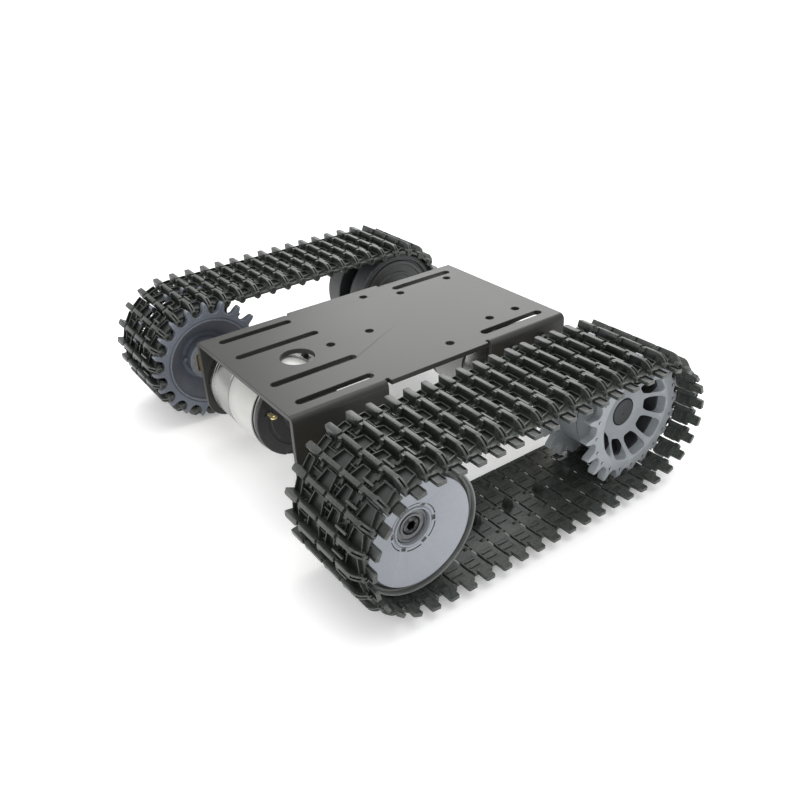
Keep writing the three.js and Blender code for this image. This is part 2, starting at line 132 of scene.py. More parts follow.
def bm_plate_xz(pts, y0, y1):
    """Outline drawn in X and Z, thickness along Y."""
    bm = bmesh.new()
    lo = [bm.verts.new((p[0], y0, p[1])) for p in pts]
    hi = [bm.verts.new((p[0], y1, p[1])) for p in pts]
    bm.faces.new(lo)
    bm.faces.new(hi[::-1])
    for i in range(len(pts)):
        j = (i + 1) % len(pts)
        bm.faces.new([lo[i], lo[j], hi[j], hi[i]])
    bmesh.ops.recalc_face_normals(bm, faces=bm.faces[:])
    return bm


def bm_box(x0, x1, y0, y1, z0, z1):
    return bm_poly_prism([(x0, y0), (x1, y0), (x1, y1), (x0, y1)], "h", z0, z1)


def bm_move(bm, rot_y_deg=0.0, offset=(0, 0, 0)):
    """Turns about the Y axis (from X towards Z) and shifts."""
    t = math.radians(rot_y_deg)
    c, s = math.cos(t), math.sin(t)
    for v in bm.verts:
        x, y, z = v.co
        v.co = (x * c - z * s + offset[0], y + offset[1], x * s + z * c + offset[2])
    return bm


def temp_object(bm, name="tmp"):
    me = bpy.data.meshes.new(name)
    bm.to_mesh(me)
    bm.free()
    o = bpy.data.objects.new(name, me)
    scene.collection.objects.link(o)
    return o


def drop(o):
    me = o.data
    bpy.data.objects.remove(o)
    if me.users == 0:
        bpy.data.meshes.remove(me)


def combine(base, adds=(), cuts=()):
    """Exact boolean of closed parts: base with adds joined and cuts taken away. Returns a new mesh in mm."""
    o = temp_object(base)
    made = []
    for parts, op in ((adds, "UNION"), (cuts, "DIFFERENCE")):
        if not parts:
            continue
        col = bpy.data.collections.new("ops")
        scene.collection.children.link(col)
        for p in parts:
            q = temp_object(p)
            scene.collection.objects.unlink(q)
            col.objects.link(q)
            made.append(q)
        m = o.modifiers.new("b", "BOOLEAN")
        m.operation = op
        m.solver = "EXACT"
        m.operand_type = "COLLECTION"
        m.collection = col
        m.use_self = True
    bpy.context.view_layer.update()
    dg = bpy.context.evaluated_depsgraph_get()
    me = bpy.data.meshes.new_from_object(o.evaluated_get(dg))
    for q in made:
        drop(q)
    drop(o)
    for c in [c for c in bpy.data.collections if c.name.startswith("ops")]:
        bpy.data.collections.remove(c)
    bm = bmesh.new()
    bm.from_mesh(me)
    bpy.data.meshes.remove(me)
    bmesh.ops.remove_doubles(bm, verts=bm.verts[:], dist=1e-4)
    bmesh.ops.dissolve_degenerate(bm, edges=bm.edges[:], dist=1e-4)
    return bm


def mirror_half_turn(bm):
    """Half a turn about Z: the right-hand side is the left-hand side turned round."""
    for v in bm.verts:
        v.co.x, v.co.y = -v.co.x, -v.co.y
    return bm


def finish_piece(name, bm, body, nodes, mat, angle=32.0, half_turn=False, painted_shade_alt=None):
    """Turns a bmesh in mm into a finished piece in metres that rides a body. The optional (material, test) pair gives
    the faces that pass the test a second material, used here only for painted shade in hollows and recesses.
    """
    bm.normal_update()
    for f in bm.faces:
        f.material_index = 1 if painted_shade_alt and painted_shade_alt[1](f.calc_center_median(), f.normal) else 0
    if half_turn:
        mirror_half_turn(bm)
    bm.normal_update()
    for f in bm.faces:
        f.smooth = f.calc_area() < 400.0   # the big flat faces keep one normal each
    lim = math.radians(angle)
    for e in bm.edges:
        e.smooth = not (len(e.link_faces) == 2 and e.calc_face_angle(0.0) > lim)
    for v in bm.verts:
        v.co *= MM
    me = bpy.data.meshes.new(name)
    bm.to_mesh(me)
    bm.free()
    o = bpy.data.objects.new(name, me)
    scene.collection.objects.link(o)
    o.data.materials.append(mat)
    if painted_shade_alt:
        o.data.materials.append(painted_shade_alt[0])
    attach(o, body)
    if nodes:
        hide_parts(*nodes)
    return o


# ------------------------------------------------------------------ materials
def new_mat(name):
    m = bpy.data.materials.new(name)
    m.use_nodes = True
    nt = m.node_tree
    nt.nodes.clear()
    return m, nt


def node(nt, kind, **kw):
    n = nt.nodes.new(kind)
    for k, v in kw.items():
        setattr(n, k, v)
    return n


def ramp(nt, stops):
    r = node(nt, "ShaderNodeValToRGB")
    els = r.color_ramp.elements
    while len(els) > 1:
        els.remove(els[-1])
    els[0].position, els[0].color = stops[0][0], stops[0][1]
    for p, c in stops[1:]:
        e = els.new(p)
        e.color = c
    return r


def surface(name, base, dark, light, rough=(0.4, 0.55), metallic=0.0, grain=900.0, grain_bump=0.08, blotch=60.0,
            edge=None, edge_amt=0.5, brush=None, coat=0.0, specular=0.5, dist=0.0002, scratches=0.0, streak=None):
    """Layered finish: broad colour variation, fine grain in bump and roughness, lighter edges that are partly wear and
    partly painted highlight, optional brushing and scratches.
    """
    m, nt = new_mat(name)
    L = nt.links.new
    out = node(nt, "ShaderNodeOutputMaterial")
    bs = node(nt, "ShaderNodeBsdfPrincipled")
    L(bs.outputs[0], out.inputs[0])
    tc = node(nt, "ShaderNodeTexCoord")
    co = tc.outputs["Object"]
    big = node(nt, "ShaderNodeTexNoise")
    big.inputs["Scale"].default_value = blotch
    big.inputs["Detail"].default_value = 4.0
    L(co, big.inputs["Vector"])
    cr = ramp(nt, [(0.3, (*dark, 1)), (0.5, (*base, 1)), (0.72, (*light, 1))])
    L(big.outputs["Fac"], cr.inputs[0])
    colour = cr.outputs[0]
    fine = node(nt, "ShaderNodeTexNoise")
    fine.inputs["Scale"].default_value = grain
    fine.inputs["Detail"].default_value = 3.0
    fine.inputs["Roughness"].default_value = 0.6
    if brush is not None:
        mp = node(nt, "ShaderNodeMapping")
        mp.inputs["Scale"].default_value = brush
        L(co, mp.inputs["Vector"])
        L(mp.outputs[0], fine.inputs["Vector"])
    else:
        L(co, fine.inputs["Vector"])
    # lighter colour on sharp edges, broken up by noise: partly wear, partly painted highlight where light catches the
    # edges
    if edge is not None:
        geo = node(nt, "ShaderNodeNewGeometry")
        er = ramp(nt, [(0.50, (0, 0, 0, 1)), (0.60, (1, 1, 1, 1))])
        L(geo.outputs["Pointiness"], er.inputs[0])
        en = node(nt, "ShaderNodeMath", operation="MULTIPLY")
        L(er.outputs[0], en.inputs[0])
        edge_wear_and_highlight_noise = ramp(nt, [(0.35, (0, 0, 0, 1)), (0.6, (1, 1, 1, 1))])
        L(fine.outputs["Fac"], edge_wear_and_highlight_noise.inputs[0])
        L(edge_wear_and_highlight_noise.outputs[0], en.inputs[1])
        am = node(nt, "ShaderNodeMath", operation="MULTIPLY")
        am.inputs[1].default_value = edge_amt
        L(en.outputs[0], am.inputs[0])
        mx = node(nt, "ShaderNodeMix", data_type="RGBA")
        L(am.outputs[0], mx.inputs["Factor"])
        L(colour, mx.inputs["A"])
        mx.inputs["B"].default_value = (*edge, 1)
        colour = mx.outputs["Result"]
    if streak is not None:
        st = node(nt, "ShaderNodeTexNoise")
        st.inputs["Scale"].default_value = 30.0
        st.inputs["Detail"].default_value = 6.0
        sm = node(nt, "ShaderNodeMapping")
        sm.inputs["Scale"].default_value = (1.0, 3.0, 14.0)
        L(co, sm.inputs["Vector"])
        L(sm.outputs[0], st.inputs["Vector"])
        sr = ramp(nt, [(0.45, (0, 0, 0, 1)), (0.75, (streak[3],) * 3 + (1,))])
        L(st.outputs["Fac"], sr.inputs[0])
        mx2 = node(nt, "ShaderNodeMix", data_type="RGBA")
        L(sr.outputs[0], mx2.inputs["Factor"])
        L(colour, mx2.inputs["A"])
        mx2.inputs["B"].default_value = (*streak[:3], 1)
        colour = mx2.outputs["Result"]
    L(colour, bs.inputs["Base Color"])
    rr = node(nt, "ShaderNodeMapRange")
    rr.inputs["To Min"].default_value = rough[0]
    rr.inputs["To Max"].default_value = rough[1]
    mixr = node(nt, "ShaderNodeMath", operation="ADD")
    half = node(nt, "ShaderNodeMath", operation="MULTIPLY")
    half.inputs[1].default_value = 0.5
    half2 = node(nt, "ShaderNodeMath", operation="MULTIPLY")
    half2.inputs[1].default_value = 0.5
    L(fine.outputs["Fac"], half.inputs[0])
    L(big.outputs["Fac"], half2.inputs[0])
    L(half.outputs[0], mixr.inputs[0])
    L(half2.outputs[0], mixr.inputs[1])
    rr.inputs["From Min"].default_value = 0.3
    rr.inputs["From Max"].default_value = 0.7
    L(mixr.outputs[0], rr.inputs["Value"])
    L(rr.outputs["Result"], bs.inputs["Roughness"])
    bump = node(nt, "ShaderNodeBump")
    bump.inputs["Strength"].default_value = grain_bump
    bump.inputs["Distance"].default_value = dist
    height = fine.outputs["Fac"]
    if scratches > 0:
        vo = node(nt, "ShaderNodeTexVoronoi", feature="DISTANCE_TO_EDGE")
        vo.inputs["Scale"].default_value = 90.0
        wn = node(nt, "ShaderNodeTexNoise")
        wn.inputs["Scale"].default_value = 40.0
        vm = node(nt, "ShaderNodeMapping")
        vm.inputs["Scale"].default_value = (1.0, 0.15, 1.0)
        L(co, vm.inputs["Vector"])
        L(vm.outputs[0], vo.inputs["Vector"])
        vr = ramp(nt, [(0.0, (0, 0, 0, 1)), (0.006, (1, 1, 1, 1))])
        L(vo.outputs["Distance"], vr.inputs[0])
        hm = node(nt, "ShaderNodeMath", operation="MULTIPLY_ADD")
        hm.inputs[1].default_value = scratches
        L(vr.outputs[0], hm.inputs[0])
        L(height, hm.inputs[2])
        height = hm.outputs[0]
    L(height, bump.inputs["Height"])
    L(bump.outputs[0], bs.inputs["Normal"])
    bs.inputs["Metallic"].default_value = metallic
    bs.inputs["Specular IOR Level"].default_value = specular
    bs.inputs["Coat Weight"].default_value = coat
    bs.inputs["Coat Roughness"].default_value = 0.3
    return m


# the belt's edge colour is many times lighter than its plastic: mostly painted highlight along its edges, with some
# wear
M_BELT = surface("belt_plastic", (0.009, 0.012, 0.0098), (0.0055, 0.0075, 0.006), (0.015, 0.019, 0.016), rough=(0.34, 0.47), grain=1500, grain_bump=0.18,
                 blotch=55, edge=(0.13, 0.15, 0.13), edge_amt=0.4, specular=0.75)
M_DECK = surface("deck_sheet", (0.027, 0.027, 0.024), (0.024, 0.024, 0.021), (0.031, 0.031, 0.027), rough=(0.34, 0.40), grain=3200, grain_bump=0.035,
                 blotch=14, specular=0.37, dist=0.00008)
M_SPRK_L = surface("sprocket_light", (0.31, 0.335, 0.355), (0.265, 0.285, 0.305), (0.36, 0.385, 0.40), rough=(0.42, 0.6), grain=1300, grain_bump=0.14, blotch=45,
                   edge=(0.6, 0.62, 0.66), edge_amt=0.3)
M_SPRK_B = surface("sprocket_blue", (0.115, 0.13, 0.16), (0.09, 0.10, 0.125), (0.145, 0.16, 0.195), rough=(0.42, 0.6), grain=1300, grain_bump=0.14, blotch=45,
                   edge=(0.35, 0.37, 0.42), edge_amt=0.4)
M_IDLER_L = surface("idler_light", (0.315, 0.335, 0.37), (0.28, 0.30, 0.335), (0.345, 0.365, 0.40), rough=(0.42, 0.55), grain=1500, grain_bump=0.14, blotch=30,
                    edge=(0.5, 0.52, 0.56), edge_amt=0.25)
M_IDLER_D = surface("idler_dark", (0.035, 0.038, 0.04), (0.025, 0.027, 0.029), (0.05, 0.054, 0.056), rough=(0.36, 0.52), grain=1300, grain_bump=0.16, blotch=45,
                    edge=(0.2, 0.21, 0.22), edge_amt=0.35)
M_CAP_D = surface("hub_cap_plastic", (0.03, 0.034, 0.037), (0.022, 0.025, 0.027), (0.042, 0.046, 0.05), rough=(0.4, 0.55), grain=1400, grain_bump=0.15)
M_STEEL = surface("turned_steel", (0.56, 0.56, 0.55), (0.47, 0.47, 0.46), (0.64, 0.64, 0.63), rough=(0.22, 0.38), metallic=1.0, grain=500, grain_bump=0.06,
                  blotch=40, brush=(1.0, 14.0, 1.0))
M_MOTOR = surface("motor_steel", (0.31, 0.31, 0.30), (0.27, 0.27, 0.26), (0.36, 0.36, 0.35), rough=(0.2, 0.34), metallic=1.0, grain=420, grain_bump=0.05,
                  blotch=35, brush=(1.0, 22.0, 1.0))
M_LABEL = surface("paper_label", (0.53, 0.53, 0.51), (0.49, 0.49, 0.47), (0.57, 0.57, 0.55), rough=(0.35, 0.5), grain=1600, grain_bump=0.06, blotch=80, coat=0.25)
M_CAP = surface("brush_cap_plastic", (0.017, 0.017, 0.018), (0.01, 0.01, 0.011), (0.027, 0.027, 0.028), rough=(0.32, 0.48), grain=1500, grain_bump=0.18,
                edge=(0.1, 0.1, 0.1), edge_amt=0.3)
M_BRASS = surface("brass", (0.72, 0.52, 0.2), (0.58, 0.41, 0.15), (0.8, 0.6, 0.27), rough=(0.24, 0.4), metallic=1.0, grain=700, grain_bump=0.07, blotch=90)
M_TERMINAL = surface("terminal_brass", (0.95, 0.82, 0.42), (0.85, 0.7, 0.3), (1.0, 0.9, 0.55), rough=(0.3, 0.45), metallic=0.7, grain=900, grain_bump=0.06, blotch=90)
M_BLACK = surface("black_oxide", (0.03, 0.03, 0.032), (0.018, 0.018, 0.019), (0.05, 0.05, 0.052), rough=(0.3, 0.45), metallic=0.85, grain=1200, grain_bump=0.1,
                  edge=(0.3, 0.3, 0.3), edge_amt=0.35)
M_BEARING = surface("bearing_steel", (0.17, 0.175, 0.18), (0.12, 0.125, 0.13), (0.22, 0.225, 0.23), rough=(0.3, 0.45), metallic=0.8, grain=800, grain_bump=0.05)
# near-black matte material painted as shade on the sprocket hollows, the window walls and round the raised dots
M_PAINTED_SHADE = surface("sprocket_painted_shade", (0.03, 0.032, 0.035), (0.02, 0.022, 0.024), (0.042, 0.045, 0.05), rough=(0.6, 0.75), grain=1300, grain_bump=0.15, specular=0.25)
# darker material painted as shade in the idler's rim groove and in the recessed marks round its hub
M_GROOVE_PAINTED_SHADE = surface("idler_groove_painted_shade", (0.15, 0.16, 0.155), (0.11, 0.12, 0.115), (0.19, 0.20, 0.195), rough=(0.4, 0.55), grain=1400, grain_bump=0.15, edge=(0.4, 0.42, 0.42), edge_amt=0.35)


# ------------------------------------------------------------------ belt link
def tooth_cut(w0, w1):
    right = [(-2.28 * math.sin(math.radians(t)), -2.28 * math.cos(math.radians(t))) for t in (20, 40, 60, 80, 90)] + [(-2.5, 1.2), (-3.0, 2.9)]
    left = [(-7.46 - u, h) for u, h in reversed(right)]
    return bm_poly_prism([(-0.78, -2.6)] + right + left + [(-6.68, -2.6)], "w", w0, w1)


def make_link(grooves, horn_w, horn, engaged, ears):
    """One link in its own frame: X forward along the top run, Y across from the blocky end, Z away from the wheels. Pin axis at the origin."""
    B = 0.10
    adds = []

    def prism(poly, axis, a, b, bevel=B, seg=1):
        bm = bm_poly_prism(poly, axis, a, b)
        if bevel:
            bm_bevel(bm, bevel, seg)
        adds.append(bm)

    def box(u0, u1, w0, w1, h0, h1, bevel=B, seg=1):
        prism([(u0, w0), (u1, w0), (u1, w1), (u0, w1)], "h", h0, h1, bevel, seg)

    def wall(p0, p1, t=0.5, top0=2.35, top1=2.0, bottom=-0.6):
        adds.append(bm_bevel(bm_wall(p0, p1, t * 0.76, top0 - 0.75, top1 - 0.75, bottom), 0.06))

    # plates, with lower floors in the recesses
    box(-5.7, -0.6, 0.9, 5.3, -0.95, 0.12)
    box(-3.5, -0.6, 5.0, 11.0, -0.95, 0.15)
    box(-6.0, -3.2, 4.8, 10.9, -0.98, -0.6)
    box(-5.8, -0.6, 10.7, 18.4, -0.95, 0.18)
    box(-6.0, -0.6, 18.1, 22.0, -0.98, -0.6)
    box(-5.9, -0.6, 21.7, 29.1, -0.96, 0.05)
    box(-5.9, -0.6, 28.9, 33.2, -0.98, -0.62)
    d_wall = 34.0 if engaged and ears else 32.8
    box(-5.6, -0.6, d_wall - 0.3, 40.8, -0.95, 0.16)
    # blocky end with its shoulders
    prism([(-0.7, 0.02), (1.0, 0.02), (1.4, 0.7), (1.4, 6.0), (0.9, 7.3), (-0.9, 7.3), (-1.1, 6.7), (-1.1, 0.7)], "h", 0.55, 3.4, 0.16, 2)
    prism([(-0.95, 0.9), (1.15, 0.9), (1.15, 7.3), (-0.95, 7.3)], "h", -1.0, 0.8, 0.12)
    # cleat, notched where the neighbour's fingers reach the pin
    cuts = []
    prism([(7.0, -1.0), (37.2, -1.0), (37.2, 2.75), (7.0, 2.75)], "u", -0.85, 0.85, 0.1)
    for a, b in ((8.6, 18.6), (19.9, 29.0), (30.4, 36.9)):
        prism([(-0.92, 1.0), (0.92, 1.0), (0.92, 2.3), (0.76, 3.5), (-0.76, 3.5), (-0.92, 2.3)], "w", a, b, 0.12, 2)
    for a in (8.6, 19.9, 30.4):
        box(0.3, 1.65, a, a + 1.45, 1.7, 3.38, 0.12)
        box(0.3, 1.25, a - 1.3, a + 0.5, 0.2, 2.3, 0.1)
    # tail falling to the pin hole at the outer end
    prism([(36.6, -1.0), (36.6, 3.5), (37.6, 3.42), (38.6, 3.12), (39.5, 2.62), (40.25, 1.95), (40.9, 1.15), (41.45, 0.75), (41.5, -0.95)], "u", -0.95, 0.95, 0.12)
    prism([(-1.25, -0.95), (1.25, -0.95), (1.25, 0.6), (0.7, 1.15), (-0.7, 1.15), (-1.25, 0.6)], "w", 39.6, 41.6, 0.12)
    # first pocket, behind the blocky end
    wall((-0.7, 2.0), (-5.3, 0.95), 0.5, 2.2, 1.9)
    box(-5.95, -5.5, 0.8, 4.4, -0.9, 1.15)
    wall((-0.7, 5.8), (-5.3, 4.6), 0.5, 2.3, 1.9)
    # second pocket, closed halfway, with two louvre ribs in the recess beyond
    wall((-3.4, 4.9), (-3.4, 10.2), 0.5, 1.75, 1.75)
    wall((-4.3, 5.0), (-4.3, 10.3), 0.3, 0.75, 0.75)
    wall((-5.15, 4.9), (-5.15, 10.3), 0.3, 0.62, 0.62)
    # wide pocket
    wall((-0.7, 10.8), (-5.5, 11.6), 0.55)
    box(-6.05, -5.6, 11.4, 17.0, -0.9, 1.15)
    wall((-0.7, 18.0), (-5.6, 16.9), 0.55)
    # recess with louvre ribs
    wall((-3.5, 17.9), (-3.5, 21.7), 0.5, 1.7, 1.7)
    wall((-2.2, 18.3), (-2.2, 21.3), 0.3, 0.7, 0.7)
    wall((-4.4, 17.7), (-4.4, 21.8), 0.3, 0.75, 0.75)
    wall((-5.2, 17.5), (-5.2, 21.9), 0.3, 0.62, 0.62)
    wall((-0.7, 21.4), (-5.6, 22.0), 0.55)
    box(-5.95, -5.5, 21.9, 26.0, -0.9, 1.15)
    wall((-5.6, 25.9), (-3.0, 26.2), 0.55, 2.0, 2.2)
    box(-2.85, -2.0, 26.9, 32.5, 1.75, 2.6)
    box(-2.85, -2.0, 26.9, 28.6, -0.5, 2.2)
    box(-2.4, -0.6, 27.2, 28.2, 0.8, 1.9)
    wall((-0.7, d_wall), (-5.4, d_wall + 0.5), 0.55)
    box(-5.85, -5.4, d_wall + 0.3, 38.1, -0.9, 1.15)
    wall((-0.7, 39.6), (-5.4, 37.9), 0.55, 2.0, 1.9)
    if ears:
        # ear tab at the outer end, a tray with a raised lip
        prism([(-4.25, 39.8), (-0.5, 39.8), (-0.5, 44.7), (-0.8, 45.15), (-3.8, 45.15), (-4.15, 44.7)], "h", -1.3, 0.05, 0.1)
        cuts.append(bm_box(-3.9, -0.85, 40.9, 44.7, -0.45, 0.8))
    else:
        # round knuckle hanging under the tail, where it drops into the sprocket's gaps
        prism([(1.75, 0.1), (1.6, -0.8), (1.1, -1.65), (0.35, -2.15), (-0.35, -2.15), (-1.1, -1.65), (-1.6, -0.8), (-1.75, 0.1), (-1.2, 0.8), (1.2, 0.8)], "w", 38.85, 41.3, 0.12, 2)
    # fingers reaching back to the neighbour's pin
    for a, b in ((7.45, 8.5), (18.7, 19.8), (29.1, 30.1)):
        prism([(-4.6, -0.95), (-7.4, -1.0), (-8.1, -0.75), (-8.45, -0.1), (-8.25, 0.6), (-7.6, 1.0), (-6.9, 0.85), (-5.4, 0.35), (-4.6, 0.3)], "w", a, b, 0.08)
    # guide horn on the inner side
    if horn:
        prism([(-4.9, -0.7), (-3.9, -4.3), (-3.5, -5.0), (-2.8, -5.0), (-2.4, -4.3), (-1.4, -0.7)], "w", horn_w - 1.5, horn_w + 1.5, 0.3, 2)
    # ribs on the inner side
    for a in (2.6, 12.9, 17.2, 22.4, 26.0, 34.6, 37.4):
        prism([(-5.4, -0.6), (-5.0, -1.28), (-1.2, -1.28), (-0.8, -0.6)], "w", a, a + 0.5, 0)
    # room for the neighbour's fingers, the wheel teeth, and the pin bores
    for a, b in ((7.25, 8.6), (18.6, 19.95), (28.95, 30.25)):
        cuts.append(bm_box(-1.3, 1.32, a, b, -1.6, 1.25))
    if engaged:
        for a, b in grooves:
            cuts.append(tooth_cut(a, b))
    cuts.append(bm_turned([(0, 41.0), (0.55, 41.0), (0.55, 42.5), (0, 42.5)], 12))
    cuts.append(bm_turned([(0, -1.0), (0.6, -1.0), (0.6, 2.0), (0, 2.0)], 12, 0.0, 0.0))
    cuts.append(bm_box(-0.3, 0.3, 37.9, 40.9, 1.3, 4.5))
    first = adds.pop(0)
    return combine(first, adds, cuts)


def pin_at(s):
    total, wrap = PITCH * LINKS, math.pi * R_PIN
    q = s % total
    if q < WHEELBASE:
        return (-AX + q, R_PIN)
    q -= WHEELBASE
    if q < wrap:
        return (AX + R_PIN * math.sin(q / R_PIN), R_PIN * math.cos(q / R_PIN))
    q -= wrap
    if q < WHEELBASE:
        return (AX - q, -R_PIN)
    q -= WHEELBASE
    return (-AX - R_PIN * math.sin(q / R_PIN), -R_PIN * math.cos(q / R_PIN))


def make_belt(name, y0, start, grooves, horn_w, cad, ears):
    kinds = [make_link(grooves, horn_w, bool(i % 2), i > 1, ears) for i in range(4)]
    wheel = -1 if y0 > 0 else 1
    cos, faces, smooth = [], [], []
    data = []
    for bm in kinds:
        bm.verts.ensure_lookup_table()
        bm.verts.index_update()
        co = np.array([v.co[:] for v in bm.verts])
        fs = [[v.index for v in f.verts] for f in bm.faces]
        data.append((co, fs))
        bm.free()
    base = 0
    rng = np.random.default_rng(11 if y0 > 0 else 12)
    for k in range(LINKS):
        x, z = pin_at(start + k * PITCH)
        xb, zb = pin_at(start + (k - 1) * PITCH)
        d = math.hypot(x - xb, z - zb)
        ux, uz = (x - xb) / d, (z - zb) / d
        engaged = max(x * wheel, xb * wheel) > AX - 13
        co, fs = data[k % 2 + (2 if engaged else 0)]
        wob = math.radians(rng.normal(0, 0.15))
        c, s = math.cos(wob), math.sin(wob)
        cu, ch = co[:, 0] * c - co[:, 2] * s, co[:, 0] * s + co[:, 2] * c
        dw = rng.uniform(-0.05, 0.05)
        X = x + cu * ux - ch * uz
        Z = z + cu * uz + ch * ux + AXLE_Z
        Y = np.clip(y0 + co[:, 1] + dw, -BELT_OUT, BELT_OUT)
        cos.append(np.stack([np.clip(X, -78.07, 78.07), Y, np.clip(Z, 0.02, 54.93)], 1))
        faces += [[i + base for i in f] for f in fs]
        base += len(co)
    me = bpy.data.meshes.new(name)
    allco = np.concatenate(cos)
    me.from_pydata([tuple(p) for p in allco], [], faces)
    bm = bmesh.new()
    bm.from_mesh(me)
    bpy.data.meshes.remove(me)
    return finish_piece(name, bm, "chassis", [cad], M_BELT, angle=28)


def make_pins(name, y0, start, w0, w1):
    bm = bmesh.new()
    for k in range(LINKS):
        x, z = pin_at(start + k * PITCH)
        p = bm_turned([(0, w0), (0.38, w0), (0.5, w0 + 0.12), (0.5, w1 - 0.12), (0.38, w1), (0, w1)], 12, x, z + AXLE_Z, y0)
        tmp = bpy.data.meshes.new("t")
        p.to_mesh(tmp)
        p.free()
        bm.from_mesh(tmp)
        bpy.data.meshes.remove(tmp)
    return finish_piece(name, bm, "chassis", [], M_BLACK, angle=40)


per_deg = math.pi / 180 * R_PIN
CL = 0.2
start_left = -(97.2 - 90) * per_deg
start_right = WHEELBASE + (90 - BELT_PHASE) * per_deg


def groove(y0, a, b):
    return (a - CL - y0, b + CL - y0)


left_rings = [groove(BELT_IN, RING_IN, RING_IN + RING_T), groove(BELT_IN, RING_OUT - RING_T, RING_OUT)]
right_rings = [groove(-BELT_OUT, -y, -y + RING_T) for y in (RING_OUT + RIGHT_SHIFT, RING_IN + RING_T + RIGHT_SHIFT)]
make_belt("belt_left", BELT_IN, start_left, left_rings, IDLER_MID - BELT_IN, "track_left", True)
make_belt("belt_right", -BELT_OUT, start_right, right_rings, BELT_OUT - IDLER_MID, "track_right", False)
make_pins("pins_left", BELT_IN, start_left, 1.2, 41.3)
make_pins("pins_right", -BELT_OUT, start_right, 1.2, 41.45)


# ------------------------------------------------------------------ sprockets
def ring_outline(x, z):
    """Toothed outline: narrow teeth with rounded tips, round valleys where the link pins sit."""
    pts = []
    phase = BELT_PHASE + 180 / TEETH
    rho = 2.55
    for i in range(TEETH):
        a = 180 + phase + i * 360 / TEETH
        for side in (-1, 1):
            t = math.radians(a + side * 9)
            er, et = (math.cos(t), math.sin(t)), (-math.sin(t), math.cos(t))
            arc_ = []
            for f in ((0, 20, 40, 60, 80) if side < 0 else (20, 40, 60, 80)):
                p, q = -rho * math.cos(math.radians(f)), -side * rho * math.sin(math.radians(f))
                arc_.append((x + (R_PIN + p) * er[0] + q * et[0], z + (R_PIN + p) * er[1] + q * et[1]))
            tip = [(2.1, 24.9), (1.65, 25.5), (1.05, 26.0), (0.4, 26.25)]
            tips = [(x + r * math.cos(math.radians(a + side * da)), z + r * math.sin(math.radians(a + side * da))) for da, r in tip]
            pts += arc_ + tips if side < 0 else tips[::-1] + arc_[::-1]
    return pts


def hex_rod(r, y0, y1, x, z):
    return bm_plate_xz([(x + r * math.cos(math.radians(30 + 60 * i)), z + r * math.sin(math.radians(30 + 60 * i))) for i in range(6)], y0, y1)


def toothed(x, z, y0, y1):
    """Ring of teeth, slightly bevelled along its outline."""
    inset = 0.22
    o = ring_outline(x, z)
    n = len(o)
    small = [(x + (px - x) * (1 - inset / math.hypot(px - x, pz - z)), z + (pz - z) * (1 - inset / math.hypot(px - x, pz - z))) for px, pz in o]
    bm = bmesh.new()
    rows = []
    for pts, y in ((small, y0), (o, y0 + inset), (o, y1 - inset), (small, y1)):
        rows.append([bm.verts.new((p[0], y, p[1])) for p in pts])
    bm.faces.new(rows[0])
    bm.faces.new(rows[-1][::-1])
    for a, b in zip(rows, rows[1:]):
        for i in range(n):
            j = (i + 1) % n
            bm.faces.new([a[i], b[i], b[j], a[j]])
    bmesh.ops.recalc_face_normals(bm, faces=bm.faces[:])
    return bm


